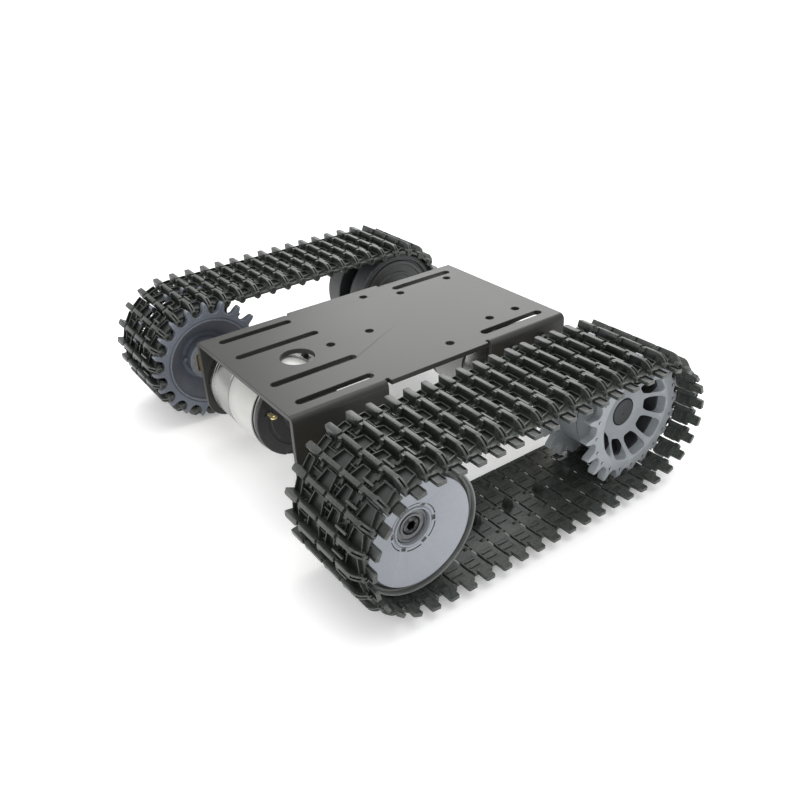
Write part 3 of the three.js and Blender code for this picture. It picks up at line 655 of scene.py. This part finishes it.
def sprocket(tag, body, mat, painted_shade_mat, half_turn, shift=0.0):
    x, z = -AX, AXLE_Z
    ri, ro = RING_IN + shift, RING_OUT + shift
    m = (ri + ro) / 2
    # painted shade: inside the inner half, the cavity faces seen through the windows get the near-black material in
    # place of shade
    painted_shade_inner = (painted_shade_mat, lambda c, n: math.hypot(c.x - x, c.z - z) < 17.6 and ((n.y > 0.3 and c.y > ri + 3.0) or (abs(n.y) <= 0.3 and c.y > ri + 8.0)))
    # painted shade: the deep walls of the windows get the near-black material
    def gets_painted_shade_outer(c, n):
        r = math.hypot(c.x - x, c.z - z)
        if r < 17.35:
            return n.y < -0.2 or (c.y < ro - 4.3 and abs(n.y) < 0.35) or (r > 15.6 and c.y < ro - 3.7)
        # painted shadow: the side walls of the raised dots get the near-black material, a dark ring round each dot
        return c.y > ro + 0.01 and n.y < 0.9 and r > 19
    painted_shade_outer = (painted_shade_mat, gets_painted_shade_outer)
    inner = bm_turned([(0, ri + 1.7), (8.8, ri + 1.7), (9.2, ri + 2.1), (9.2, ri + 7.6), (10.6, ri + 7.8), (11.2, ri + 7.5), (17.3, ri + 2.7), (17.9, ri + 2.1), (18.3, ri), (18.9, ri),
                       (19.1, ri + 0.35), (20.4, ri + 0.35), (20.4, ri + RING_T - 0.3), (18.0, ri + RING_T), (18.0, m - 0.4), (17.75, m - 0.15), (16.2, m - 0.15), (16.2, ri + 6.3),
                       (9.2, ri + 10.7), (9.2, m - 0.15), (0, m - 0.15)], 96, x, z)
    ring = combine(toothed(x, z, ri, ri + RING_T), [], [bm_turned([(0, ri - 5), (19.6, ri - 5), (19.6, ri + 8), (0, ri + 8)], 96, x, z)])
    mark = bm_turned([(0, ri + 5.5), (0.7, ri + 5.5), (0.95, ri + 5.9), (0.95, ri + 8.2), (0, ri + 8.2)], 16, x - 9.6, z + 1.2)
    bm = combine(inner, [ring, mark], [hex_rod(7.25, 52, 80, x, z)])
    finish_piece(f"sprocket_inner_half_{tag}", bm, body, [f"sprocket_inner_{tag}"], mat, half_turn=half_turn, painted_shade_alt=painted_shade_inner)

    outer = bm_turned([(0, m + 0.15), (9.2, m + 0.15), (9.2, ro - 9.3), (16.2, ro - 4.9), (16.2, m + 0.15), (17.75, m + 0.15), (18.0, m + 0.4), (18.0, ro - RING_T + 0.6), (18.7, ro - RING_T + 0.6),
                       (18.7, ro - 0.5), (17.6, ro - 0.2), (17.35, ro - 0.14), (16.4, ro - 0.85), (15.5, ro - 1.72), (14.5, ro - 2.65), (13.5, ro - 3.6), (12.5, ro - 4.45), (11.6, ro - 5.12), (10.9, ro - 5.5),
                       (10.3, ro - 5.8), (6.0, ro - 5.85), (5.6, ro - 6.1), (5.6, ro - 8.1), (0, ro - 8.1)], 120, x, z)
    ring = combine(toothed(x, z, ro - RING_T, ro), [], [bm_turned([(0, ro - 8), (17.45, ro - 8), (17.45, ro - 0.22), (17.75, ro + 0.08), (17.75, ro + 5), (0, ro + 5)], 120, x, z)])
    cuts = [hex_rod(7.25, 60, ro - 10.5, x, z)]
    for i in range(10):
        a = i * 36 + 2
        half = lambda r: math.degrees(math.asin((r * math.sin(math.radians(18)) - 1.05) / r))
        on = lambda r, t: (x + r * math.cos(math.radians(t)), z + r * math.sin(math.radians(t)))
        for r1, depth in ((16.1, 9.5), (17.1, 3.9)):
            r0 = 10.9
            right = [(r0, half(r0) - 5.0), (r0 + 0.2, half(r0) - 2.6), (r0 + 0.75, half(r0 + 0.75) - 0.7), (12.5, half(12.5) + 0.5), (13.9, half(13.9) + 0.5), (r1 - 1.5, half(r1 - 1.5)),
                     (r1 - 0.7, half(r1 - 0.7) - 1.1), (r1 - 0.2, half(r1 - 0.2) - 3.0)]
            pts = [on(rr, a + h) for rr, h in right]
            e = half(r1) - 5.4
            pts += [on(r1, t) for t in np.linspace(a + e, a - e, 5)]
            pts += [on(rr, a - h) for rr, h in reversed(right)]
            cuts.append(bm_plate_xz(pts, ro - depth, ro + 1.5))
    # small raised dots on the toothed ring, one at the foot of each tooth
    adds = [ring]
    phase = BELT_PHASE + 180 / TEETH
    for i in range(TEETH):
        t = math.radians(180 + phase + i * 360 / TEETH)
        adds.append(bm_turned([(0, ro - 0.3), (0.68, ro - 0.3), (0.55, ro + 0.3), (0, ro + 0.3)], 14, x + 20.9 * math.cos(t), z + 20.9 * math.sin(t)))
    bm = combine(outer, adds, cuts)
    finish_piece(f"sprocket_outer_half_{tag}", bm, body, [f"sprocket_outer_{tag}"], mat, half_turn=half_turn, painted_shade_alt=painted_shade_outer)

    cap = bm_turned([(0, ro - 7.8), (5.2, ro - 7.8), (5.2, ro - 6.1), (4.95, ro - 5.8), (4.2, ro - 5.8), (4.0, ro - 5.95), (1.2, ro - 5.95), (0.9, ro - 6.2), (0, ro - 6.2)], 48, x, z)
    finish_piece(f"hub_cap_{tag}", cap, body, [f"sprocket_cap_{tag}"], M_CAP_D, half_turn=half_turn)

    shaft = bm_turned([(0, 38.95), (2.7, 38.95), (3.0, 39.3), (3.0, 59.1), (2.6, 59.5), (0, 59.5)], 48, x, z)
    shaft = combine(shaft, [], [bm_box(x - 4, x + 4, 47, 60, z + 2.5, z + 4)])
    finish_piece(f"d_shaft_{tag}", shaft, body, [f"output_shaft_{tag}"], M_STEEL, half_turn=half_turn)
    hexr = hex_rod(6.9, 42, ro - 11.0, x, z)
    bm_bevel(hexr, 0.3, 2)
    c = combine(hexr, [], [bm_turned([(0, 41), (3.4, 41), (3.4, 60.5), (0, 60.5)], 32, x, z), bm_turned([(0, 41), (4.2, 41), (3.4, 42.6), (0, 42.6)], 32, x, z), set_hole(x, z, 1.7, z + 1, z + 9)])
    finish_piece(f"hex_coupling_{tag}", c, body, [f"hub_coupling_{tag}"], M_BRASS, half_turn=half_turn)
    s = combine(set_hole(x, z, 1.3, z + 2.85, z + 6.6, 24), [], [set_hole(x, z, 0.72, z + 5.2, z + 7, 6)])
    finish_piece(f"grub_screw_{tag}", s, body, [f"set_screw_{tag}"], M_BLACK, half_turn=half_turn)


def set_hole(x, z, r, z0, z1, seg=24):
    bm = bmesh.new()
    lo = [bm.verts.new((x + r * math.cos(2 * math.pi * i / seg), 51 + r * math.sin(2 * math.pi * i / seg), z0)) for i in range(seg)]
    hi = [bm.verts.new((v.co.x, v.co.y, z1)) for v in lo]
    bm.faces.new(lo[::-1])
    bm.faces.new(hi)
    for i in range(seg):
        j = (i + 1) % seg
        bm.faces.new([lo[i], lo[j], hi[j], hi[i]])
    bmesh.ops.recalc_face_normals(bm, faces=bm.faces[:])
    return bm


sprocket("rear_left", "sprocket_rear_left", M_SPRK_L, M_PAINTED_SHADE, False)
sprocket("front_right", "sprocket_front_right", M_SPRK_B, M_PAINTED_SHADE, True, RIGHT_SHIFT)


# ------------------------------------------------------------------ idlers
def idler(tag, body, mat, groove_shade_mat, half_turn):
    x, z = AX, AXLE_Z
    hub = IDLER_OUT - DISH
    outer = bm_turned([(3.3, IDLER_MID + 0.15), (16.4, IDLER_MID + 0.15), (16.4, 79.8), (21.9, 79.8), (22.2, 80.1), (22.2, 89.9), (22.05, 90.15), (21.85, 90.2), (21.65, 90.1), (21.55, 89.85), (21.5, 88.4),
                       (21.1, 88.2), (20.9, 88.55), (20.75, 88.55), (20.5, 86.6), (19.6, 86.5), (19.25, 86.7), (19.25, 89.95), (19.15, 90.12), (18.95, 90.2), (7.7, hub + 0.02), (7.5, hub), (7.35, hub - 0.22), (7.1, hub - 0.22), (6.95, hub + 0.35), (6.75, hub + 0.42),
                       (6.45, hub + 0.35), (6.3, hub), (6.3, 81.5), (3.3, 81.5)], 128, x, z)
    cuts = []
    for i in range(6):
        t = i * 60
        c = bm_box(-0.95, 0.95, hub - 0.45, IDLER_OUT + 1, -0.62, 0.62)
        bm_bevel(c, 0.25, 2)
        bm_move(c, t + 90, (x + 7.9 * math.cos(math.radians(t)), 0, z + 7.9 * math.sin(math.radians(t))))
        cuts.append(c)
        # thin arcs joining the marks
        a0, a1 = t + 11, t + 49
        pts = [(x + 8.7 * math.cos(math.radians(q)), z + 8.7 * math.sin(math.radians(q))) for q in np.linspace(a0, a1, 12)]
        pts += [(x + 8.32 * math.cos(math.radians(q)), z + 8.32 * math.sin(math.radians(q))) for q in np.linspace(a1, a0, 12)]
        cuts.append(bm_plate_xz(pts, hub - 0.1, IDLER_OUT + 1))
    bm = combine(outer, [], cuts)
    # painted shade: faces in the rim groove and in the recessed marks round the hub get the darker material
    def gets_painted_groove_shade(c, n):
        r = math.hypot(c.x - x, c.z - z)
        return (19.22 < r < 21.95 and c.y > 86.0) or (6.95 < r < 9.6 and c.y < hub + 0.02 + (r - 7.7) * 0.345 - 0.1 and c.y > hub - 1)
    painted_groove_shade = (groove_shade_mat, gets_painted_groove_shade)
    finish_piece(f"idler_outer_half_{tag}", bm, body, [f"idler_outer_{tag}"], mat, half_turn=half_turn, angle=25, painted_shade_alt=painted_groove_shade)

    inner = bm_turned([(3.3, IDLER_MID - 0.15), (3.3, 65.8), (6.3, 65.8), (6.3, IDLER_IN + 0.2), (6.5, IDLER_IN), (8.2, IDLER_IN), (8.5, IDLER_IN + 0.9), (11.8, IDLER_IN + 1.1), (12.1, IDLER_IN + 0.7),
                       (12.9, IDLER_IN + 0.7), (13.2, IDLER_IN + 1.1), (16.6, IDLER_IN + 1.1), (16.9, IDLER_IN + 0.6), (18.4, IDLER_IN + 0.6), (18.8, IDLER_IN + 1.3), (19.4, IDLER_IN + 1.3), (19.8, IDLER_IN + 0.1),
                       (20.1, IDLER_IN), (21.7, IDLER_IN + 0.3), (22.0, IDLER_IN + 0.7), (22.0, 70.9), (21.7, 71.2), (16.4, 71.2), (16.4, IDLER_MID - 0.15)], 128, x, z)
    finish_piece(f"idler_inner_half_{tag}", inner, body, [f"idler_inner_{tag}"], mat, half_turn=half_turn, angle=25)

    def bearing(y0, y1, out):
        f, d = (y1, -1) if out else (y0, 1)
        o = y0 if out else y1
        pr = [(3.3, o), (6.0, o), (6.0, f + d * 0.15), (5.85, f), (5.15, f), (5.1, f + d * 0.35), (4.3, f + d * 0.35), (4.25, f), (3.45, f), (3.3, f + d * 0.15)]
        return bm_turned(pr, 64, x, z)
    finish_piece(f"ball_bearing_out_{tag}", bearing(81.8, 85.6, True), body, [f"idler_bearing_out_{tag}"], M_BEARING, half_turn=half_turn)
    finish_piece(f"ball_bearing_in_{tag}", bearing(61.6, 65.5, False), body, [f"idler_bearing_in_{tag}"], M_BEARING, half_turn=half_turn)

    thread = []
    y = 30.45
    prof = [(0, 30.2), (2.2, 30.2), (2.45, 30.45)]
    while y < 38.2:
        prof += [(2.5, y + 0.12), (2.28, y + 0.35), (2.5, y + 0.6)]
        y += 0.6
    prof += [(2.5, 38.6), (2.5, 81.3), (2.95, 81.5), (2.95, 85.2), (2.75, 85.4), (0, 85.4)]
    axle = bm_turned(prof, 48, x, z)
    axle = combine(axle, [], [bm_plate_xz([(x + 1.75 * math.cos(math.radians(60 * i)), z + 1.75 * math.sin(math.radians(60 * i))) for i in range(6)], 82.8, 87)])
    finish_piece(f"axle_bolt_{tag}", axle, "chassis", [f"idler_axle_{tag}"], M_BLACK, half_turn=half_turn)
    sp = bm_turned([(2.9, 38.75), (3.1, 38.55), (4.3, 38.55), (4.5, 38.75), (4.5, 61.1), (4.3, 61.3), (3.1, 61.3), (2.9, 61.1)], 48, x, z)
    finish_piece(f"spacer_{tag}", sp, "chassis", [f"idler_spacer_{tag}"], M_BRASS, half_turn=half_turn)
    wa = bm_turned([(2.8, 35.0), (2.85, 34.95), (5.3, 34.95), (5.5, 35.15), (5.5, 35.85), (5.4, 35.95), (2.85, 35.95), (2.8, 35.9)], 48, x, z)
    finish_piece(f"washer_{tag}", wa, "chassis", [f"idler_washer_{tag}"], M_STEEL, half_turn=half_turn)
    nut = hex_rod(4.6, 31.0, 34.65, x, z)
    nut = combine(nut, [], [bm_turned([(0, 28), (2.9, 28), (2.9, 37), (0, 37)], 32, x, z), bm_turned([(4.25, 30.9), (4.25, 30.95), (4.7, 31.4), (7, 31.4), (7, 30.9)], 48, x, z)])
    finish_piece(f"hex_nut_{tag}", nut, "chassis", [f"idler_nut_{tag}"], M_STEEL, half_turn=half_turn)


idler("front_left", "idler_front_left", M_IDLER_L, M_GROOVE_PAINTED_SHADE, False)
idler("rear_right", "idler_rear_right", M_IDLER_D, M_IDLER_D, True)


# ------------------------------------------------------------------ motors
def motor(tag, half_turn):
    x, z = -AX, AXLE_Z
    mx = x + 7
    screws = []
    for a in (60, 120, 240, 300):
        t = math.radians(180 - a)
        screws.append((mx + 15.5 * math.cos(t), z + 15.5 * math.sin(t)))
    plate = bm_turned([(0, 32.95), (18.3, 32.95), (18.5, 33.15), (18.5, 35.75), (18.3, 35.95), (0, 35.95)], 96, mx, z)
    boss = bm_turned([(0, 34.9), (6.0, 34.9), (6.0, 38.45), (5.8, 38.65), (0, 38.65)], 48, x, z)
    holes = [bm_turned([(0, 31), (1.7, 31), (1.7, 40), (0, 40)], 20, sx, sz) for sx, sz in screws]
    finish_piece(f"gearbox_face_{tag}", combine(plate, [boss], holes), "chassis", [f"gearbox_plate_{tag}"], M_MOTOR, half_turn=half_turn)
    g1 = 32.65
    box_ = bm_turned([(0, g1), (18.3, g1), (18.5, g1 - 0.2), (18.5, 31.6), (18.3, 31.45), (18.3, 31.15), (18.5, 31.0), (18.5, 20.4), (18.35, 20.1), (18.0, 19.75), (18.0, 19.2), (0, 19.2)], 96, mx, z)
    finish_piece(f"gearbox_can_{tag}", box_, "chassis", [f"gearbox_{tag}"], M_MOTOR, half_turn=half_turn)
    can = bm_turned([(0, 18.9), (17.4, 18.9), (17.6, 18.7), (17.6, -1.2), (17.45, -1.4), (17.45, -1.6), (17.6, -1.8), (17.5, -2.0), (0, -2.0)], 96, mx, z)
    finish_piece(f"motor_shell_{tag}", can, "chassis", [f"motor_can_{tag}"], M_MOTOR, half_turn=half_turn)
    lab = bm_turned([(17.9, 18.35), (18.35, 18.4), (18.4, 18.3), (18.4, -0.5), (18.35, -0.6), (17.9, -0.55)], 128, mx, z)
    finish_piece(f"label_{tag}", lab, "chassis", [f"motor_label_{tag}"], M_LABEL, half_turn=half_turn)
    cap = bm_turned([(0, -2.3), (17.9, -2.3), (17.9, -4.1), (17.7, -4.5), (17.2, -4.6), (13.2, -4.6), (12.9, -4.35), (11.9, -4.35), (11.6, -4.6), (6.7, -4.6), (6.4, -4.8), (6.2, -5.4), (6.0, -5.6),
                     (2.6, -5.6), (2.4, -5.2), (0, -5.2)], 96, mx, z)
    cuts = []
    for a in (250, 292, 70):
        t = math.radians(a)
        cuts.append(bm_turned([(0, -7), (1.7, -7), (1.7, -3.4), (0, -3.4)], 20, mx + 17.9 * math.cos(t), z + 17.9 * math.sin(t)))
    for s in (-1, 1):
        cuts.append(bm_box(mx + s * 12.5 - 1.9, mx + s * 12.5 + 1.9, -6.0, -4.2, z - s * 4.7 - 0.7, z - s * 4.7 + 0.7))
    finish_piece(f"brush_cap_{tag}", combine(cap, [], cuts), "chassis", [f"motor_cap_{tag}"], M_CAP, half_turn=half_turn)
    for i, (sx, sz) in enumerate(screws):
        s = bm_turned([(0, 33.65), (1.2, 33.65), (1.35, 33.8), (1.35, 38.55), (2.7, 38.55), (2.85, 38.7), (2.75, 39.35), (2.3, 39.9), (1.5, 40.12), (0, 40.15)], 32, sx, sz)
        cross = [bm_box(sx - 1.3, sx + 1.3, 39.3, 41, sz - 0.28, sz + 0.28), bm_box(sx - 0.28, sx + 0.28, 39.3, 41, sz - 1.3, sz + 1.3)]
        finish_piece(f"face_screw_{i + 1}_{tag}", combine(s, [], cross), "chassis", [f"motor_screw_{i + 1}_{tag}"], M_BLACK, half_turn=half_turn)
    for k in ("a", "b"):
        # solder tag: a flat loop on a short foot, where the CAD terminal stands
        lo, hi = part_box(f"motor_terminal_{k}_{tag}")
        lo, hi = [v / MM for v in lo], [v / MM for v in hi]
        cx, cz = (lo[0] + hi[0]) / 2, (lo[2] + hi[2]) / 2
        out_y, in_y = (hi[1], lo[1]) if abs(hi[1] - 0) > abs(lo[1] - 0) and half_turn else (lo[1], hi[1])
        d = 1 if out_y > in_y else -1
        mid = out_y - d * 1.35
        def loop(r, q, grow=0.0):
            return [(mid + d * (q + grow) * math.sin(2 * math.pi * i / 20), cx + (r + grow) * math.cos(2 * math.pi * i / 20)) for i in range(20)]
        def slab(pts, z0, z1):
            bm = bmesh.new()
            lo_ = [bm.verts.new((px, py, z0)) for py, px in pts]
            hi_ = [bm.verts.new((px, py, z1)) for py, px in pts]
            bm.faces.new(lo_[::-1])
            bm.faces.new(hi_)
            n = len(pts)
            for i in range(n):
                j = (i + 1) % n
                bm.faces.new([lo_[i], lo_[j], hi_[j], hi_[i]])
            bmesh.ops.recalc_face_normals(bm, faces=bm.faces[:])
            return bm
        ring = slab(loop(1.3, 1.3), cz - 0.3, cz + 0.3)
        bm_bevel(ring, 0.08)
        foot = bm_box(cx - 0.85, cx + 0.85, min(in_y, mid), max(in_y, mid), cz - 0.25, cz + 0.25)
        tag_bm = combine(ring, [foot], [slab(loop(0.55, 0.7), cz - 1, cz + 1)])
        finish_piece(f"solder_tag_{k}_{tag}", tag_bm, "chassis", [f"motor_terminal_{k}_{tag}"], M_TERMINAL)


motor("rear_left", False)
motor("front_right", True)


# ------------------------------------------------------------------ deck
def deck():
    HL, HW, T, BR, C = 63.5, 38.25, 2.0, 2.5, 9.0
    yb = HW - BR
    arc_len = BR * math.pi / 2
    v_of = lambda zz: yb + arc_len + (DECK_TOP - BR - zz)
    vF = v_of(12.6)
    quarter = [(-HL, 0.0)]
    def corner(cx, cv, r, a0, a1, n=10):
        return [(cx + r * math.cos(math.radians(a)), cv + r * math.sin(math.radians(a))) for a in np.linspace(a0, a1, n)]
    top = []
    top += corner(-HL + C, vF - C, C, 180, 90)
    top += corner(-24.2 - C, vF - C, C, 90, 0)
    top += [(-24.2, yb + 0.35), (-24.35, yb), (-22.95, yb), (-22.85, yb + 0.35), (-22.85, 37.6), (-22.5, 37.95), (22.5, 37.95), (22.85, 37.6), (22.85, yb + 0.35), (22.95, yb), (24.35, yb), (24.2, yb + 0.35)]
    top += corner(24.2 + C, vF - C, C, 180, 90)
    top += corner(HL - C, vF - C, C, 90, 0)
    outline = top + [(px, -pv) for px, pv in reversed(top)]
    holes = []
    def circle(cx, cv, r, n=28):
        return [(cx + r * math.cos(2 * math.pi * i / n), cv + r * math.sin(2 * math.pi * i / n)) for i in range(n)]
    def slot(x0, x1, yy, w=3.4):
        r = w / 2
        return corner(x1 - r, yy, r, -90, 90, 11) + corner(x0 + r, yy, r, 90, 270, 11)
    for s in (-1, 1):
        holes += [slot(25.4, 57.3, s * 30.1), slot(22.1, 58.1, s * 13.8), slot(-58.0, -26.3, s * 29.7)]
    for hx, hy in ((24.3, -0.4), (6.0, -0.8), (-11.3, -30.9), (-26.2, -23.9), (-52.2, -24.0), (-11.4, 28.5), (-38.1, 21.1), (-52.1, 21.1)):
        holes.append(circle(hx, hy, 1.7))
    holes.append(circle(39.4, 0.0, 6.6, 56))
    for s in (1, -1):
        holes.append(circle(s * AX, s * v_of(AXLE_Z), 2.9, 32))
        holes.append(circle(-s * AX, s * v_of(AXLE_Z), 6.5, 48))
        for a in (60, 120, 240, 300):
            t = math.radians(180 - a)
            holes.append(circle(s * (-AX + 7 + 15.5 * math.cos(t)), s * v_of(AXLE_Z + 15.5 * math.sin(t)), 1.75, 20))
    cu = bpy.data.curves.new("sheet", "CURVE")
    cu.dimensions = "2D"
    cu.fill_mode = "BOTH"
    for loop in [outline] + holes:
        sp = cu.splines.new("POLY")
        sp.points.add(len(loop) - 1)
        for p, q in zip(sp.points, loop):
            p.co = (q[0], q[1], 0, 1)
        sp.use_cyclic_u = True
    co = bpy.data.objects.new("sheet", cu)
    scene.collection.objects.link(co)
    bpy.context.view_layer.update()
    me = bpy.data.meshes.new_from_object(co.evaluated_get(bpy.context.evaluated_depsgraph_get()))
    bpy.data.objects.remove(co)
    bpy.data.curves.remove(cu)
    flat = bmesh.new()
    flat.from_mesh(me)
    bpy.data.meshes.remove(me)
    bmesh.ops.remove_doubles(flat, verts=flat.verts[:], dist=1e-4)
    for s in (-1, 1):
        for i in range(0, 9):
            v = s * (yb + arc_len * i / 8)
            bmesh.ops.bisect_plane(flat, geom=flat.verts[:] + flat.edges[:] + flat.faces[:], dist=1e-5, plane_co=(0, v, 0), plane_no=(0, 1, 0))
    for gx in (-24.35, 24.35, -22.85, 22.85):
        bmesh.ops.bisect_plane(flat, geom=flat.verts[:] + flat.edges[:] + flat.faces[:], dist=1e-5, plane_co=(gx, 0, 0), plane_no=(1, 0, 0))
    flat.normal_update()
    if sum(f.normal.z * f.calc_area() for f in flat.faces) < 0:
        bmesh.ops.reverse_faces(flat, faces=flat.faces[:])
    def bend(px, pv, w):
        a = abs(pv)
        s = 1 if pv >= 0 else -1
        if abs(px) < 23.6 or a <= yb:
            return (px, pv, DECK_TOP - w)
        e = a - yb
        if e <= arc_len:
            th = e / BR
            return (px, s * (yb + (BR - w) * math.sin(th)), DECK_TOP - BR + (BR - w) * math.cos(th))
        return (px, s * (HW - w), DECK_TOP - BR - (e - arc_len))
    flat.verts.index_update()
    edge = 0.16
    out = bmesh.new()
    P = [v.co.copy() for v in flat.verts]
    boundary = [e for e in flat.edges if len(e.link_faces) == 1]
    # small rounding of the sheet's edge: outer surfaces pulled in a little, side wall full size
    inward = {}
    for e in boundary:
        f = e.link_faces[0]
        a, b = e.verts
        d = (b.co - a.co).normalized()
        n = Vector((-d.y, d.x, 0))
        c = f.calc_center_median()
        if (c - a.co).dot(n) < 0:
            n = -n
        for v in (a, b):
            inward.setdefault(v.index, []).append(n)
    shift = {}
    for i, ns in inward.items():
        n = sum(ns, Vector((0, 0, 0)))
        n = n.normalized() if n.length > 1e-6 else Vector((0, 0, 0))
        shift[i] = n * edge
    layers = []
    for w, pull in ((0.0, 1), (edge, 0), (T - edge, 0), (T, 1)):
        rows = {}
        for i, p in enumerate(P):
            if pull or i in inward:
                q = p + shift[i] if (pull and i in shift) else p
                rows[i] = out.verts.new(bend(q.x, q.y, w))
        layers.append(rows)
    for f in flat.faces:
        ids = [v.index for v in f.verts]
        out.faces.new([layers[0][i] for i in ids])
        out.faces.new([layers[3][i] for i in reversed(ids)])
    for e in boundary:
        f = e.link_faces[0]
        loops = [l for l in f.loops if l.edge == e][0]
        a, b = loops.vert.index, loops.link_loop_next.vert.index
        for k in range(3):
            out.faces.new([layers[k][b], layers[k][a], layers[k + 1][a], layers[k + 1][b]])
    flat.free()
    bmesh.ops.recalc_face_normals(out, faces=out.faces[:])
    o = finish_piece("deck_sheet", out, "chassis", ["deck_plate"], M_DECK, angle=30)
    wn = o.modifiers.new("weighted", "WEIGHTED_NORMAL")
    wn.mode = "FACE_AREA"
    wn.weight = 100
    wn.keep_sharp = True


deck()

# ------------------------------------------------------------------ anything still shown as CAD gets a finish
for name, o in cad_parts.items():
    if not o.hide_render:
        o.data.materials.clear()
        o.data.materials.append(M_BRASS if "terminal" in name else M_STEEL)

# ------------------------------------------------------------------ floor, light, camera
fm, nt = new_mat("floor_paper")
o_ = node(nt, "ShaderNodeOutputMaterial")
b_ = node(nt, "ShaderNodeBsdfPrincipled")
nt.links.new(b_.outputs[0], o_.inputs[0])
b_.inputs["Base Color"].default_value = (0.92, 0.92, 0.92, 1)
b_.inputs["Emission Color"].default_value = (1.0, 1.0, 1.0, 1)
b_.inputs["Emission Strength"].default_value = 0.22
b_.inputs["Roughness"].default_value = 0.9
b_.inputs["Specular IOR Level"].default_value = 0.1
bm = bmesh.new()
vs = [bm.verts.new(p) for p in ((-20, -20, -0.0002), (20, -20, -0.0002), (20, 20, -0.0002), (-20, 20, -0.0002))]
bm.faces.new(vs)
me = bpy.data.meshes.new("floor")
bm.to_mesh(me)
bm.free()
floor = bpy.data.objects.new("floor", me)
scene.collection.objects.link(floor)
me.materials.append(fm)

world = bpy.data.worlds.new("studio")
scene.world = world
world.use_nodes = True
bg = world.node_tree.nodes["Background"]
bg.inputs[0].default_value = (1.0, 1.0, 1.0, 1)
bg.inputs[1].default_value = 0.88


def area(name, loc, target, size, power, colour=(1, 1, 1)):
    li = bpy.data.lights.new(name, "AREA")
    li.shape = "RECTANGLE"
    li.size, li.size_y = size
    li.energy = power
    li.color = colour
    o = bpy.data.objects.new(name, li)
    scene.collection.objects.link(o)
    o.location = loc
    o.rotation_mode = "QUATERNION"
    o.rotation_quaternion = (Vector(target) - Vector(loc)).to_track_quat("-Z", "Y")
    return o


area("back_softbox", (-0.70, -0.68, 0.62), (0, 0, 0.03), (0.8, 0.6), 4.6)
area("front_softbox", (0.8, 0.55, 0.7), (0, 0, 0.03), (0.8, 0.6), 1.8)
area("top_softbox", (-0.1, 0.1, 1.1), (0, 0, 0.03), (0.8, 0.8), 4.8)

scene.view_settings.view_transform = "Standard"
scene.view_settings.look = "None"

yaw, pitch, roll = math.radians(145.21), math.radians(30.09), math.radians(-2.6)
d = Vector((-math.sin(yaw) * math.cos(pitch), math.cos(yaw) * math.cos(pitch), -math.sin(pitch)))
r = d.cross(Vector((0, 0, 1))).normalized()
u = r.cross(d)
c, s = math.cos(roll), math.sin(roll)
r2 = c * r + s * u
u2 = -s * r + c * u
cam_data = bpy.data.cameras.new("camera")
cam = bpy.data.objects.new("camera", cam_data)
scene.collection.objects.link(cam)
cam_data.sensor_width = 36.0
cam_data.lens = 36.33
cam_data.clip_start = 0.01
cam_data.clip_end = 60
cam_data.shift_x = 0.001175
cam_data.shift_y = -0.003
from mathutils import Matrix
rot = Matrix((r2, u2, -d)).transposed()
cam.rotation_mode = "QUATERNION"
cam.rotation_quaternion = rot.to_quaternion()
cam.location = (0.1635, 0.2445, (DECK_TOP + 137.5) * MM)
scene.camera = cam

bpy.context.view_layer.update()
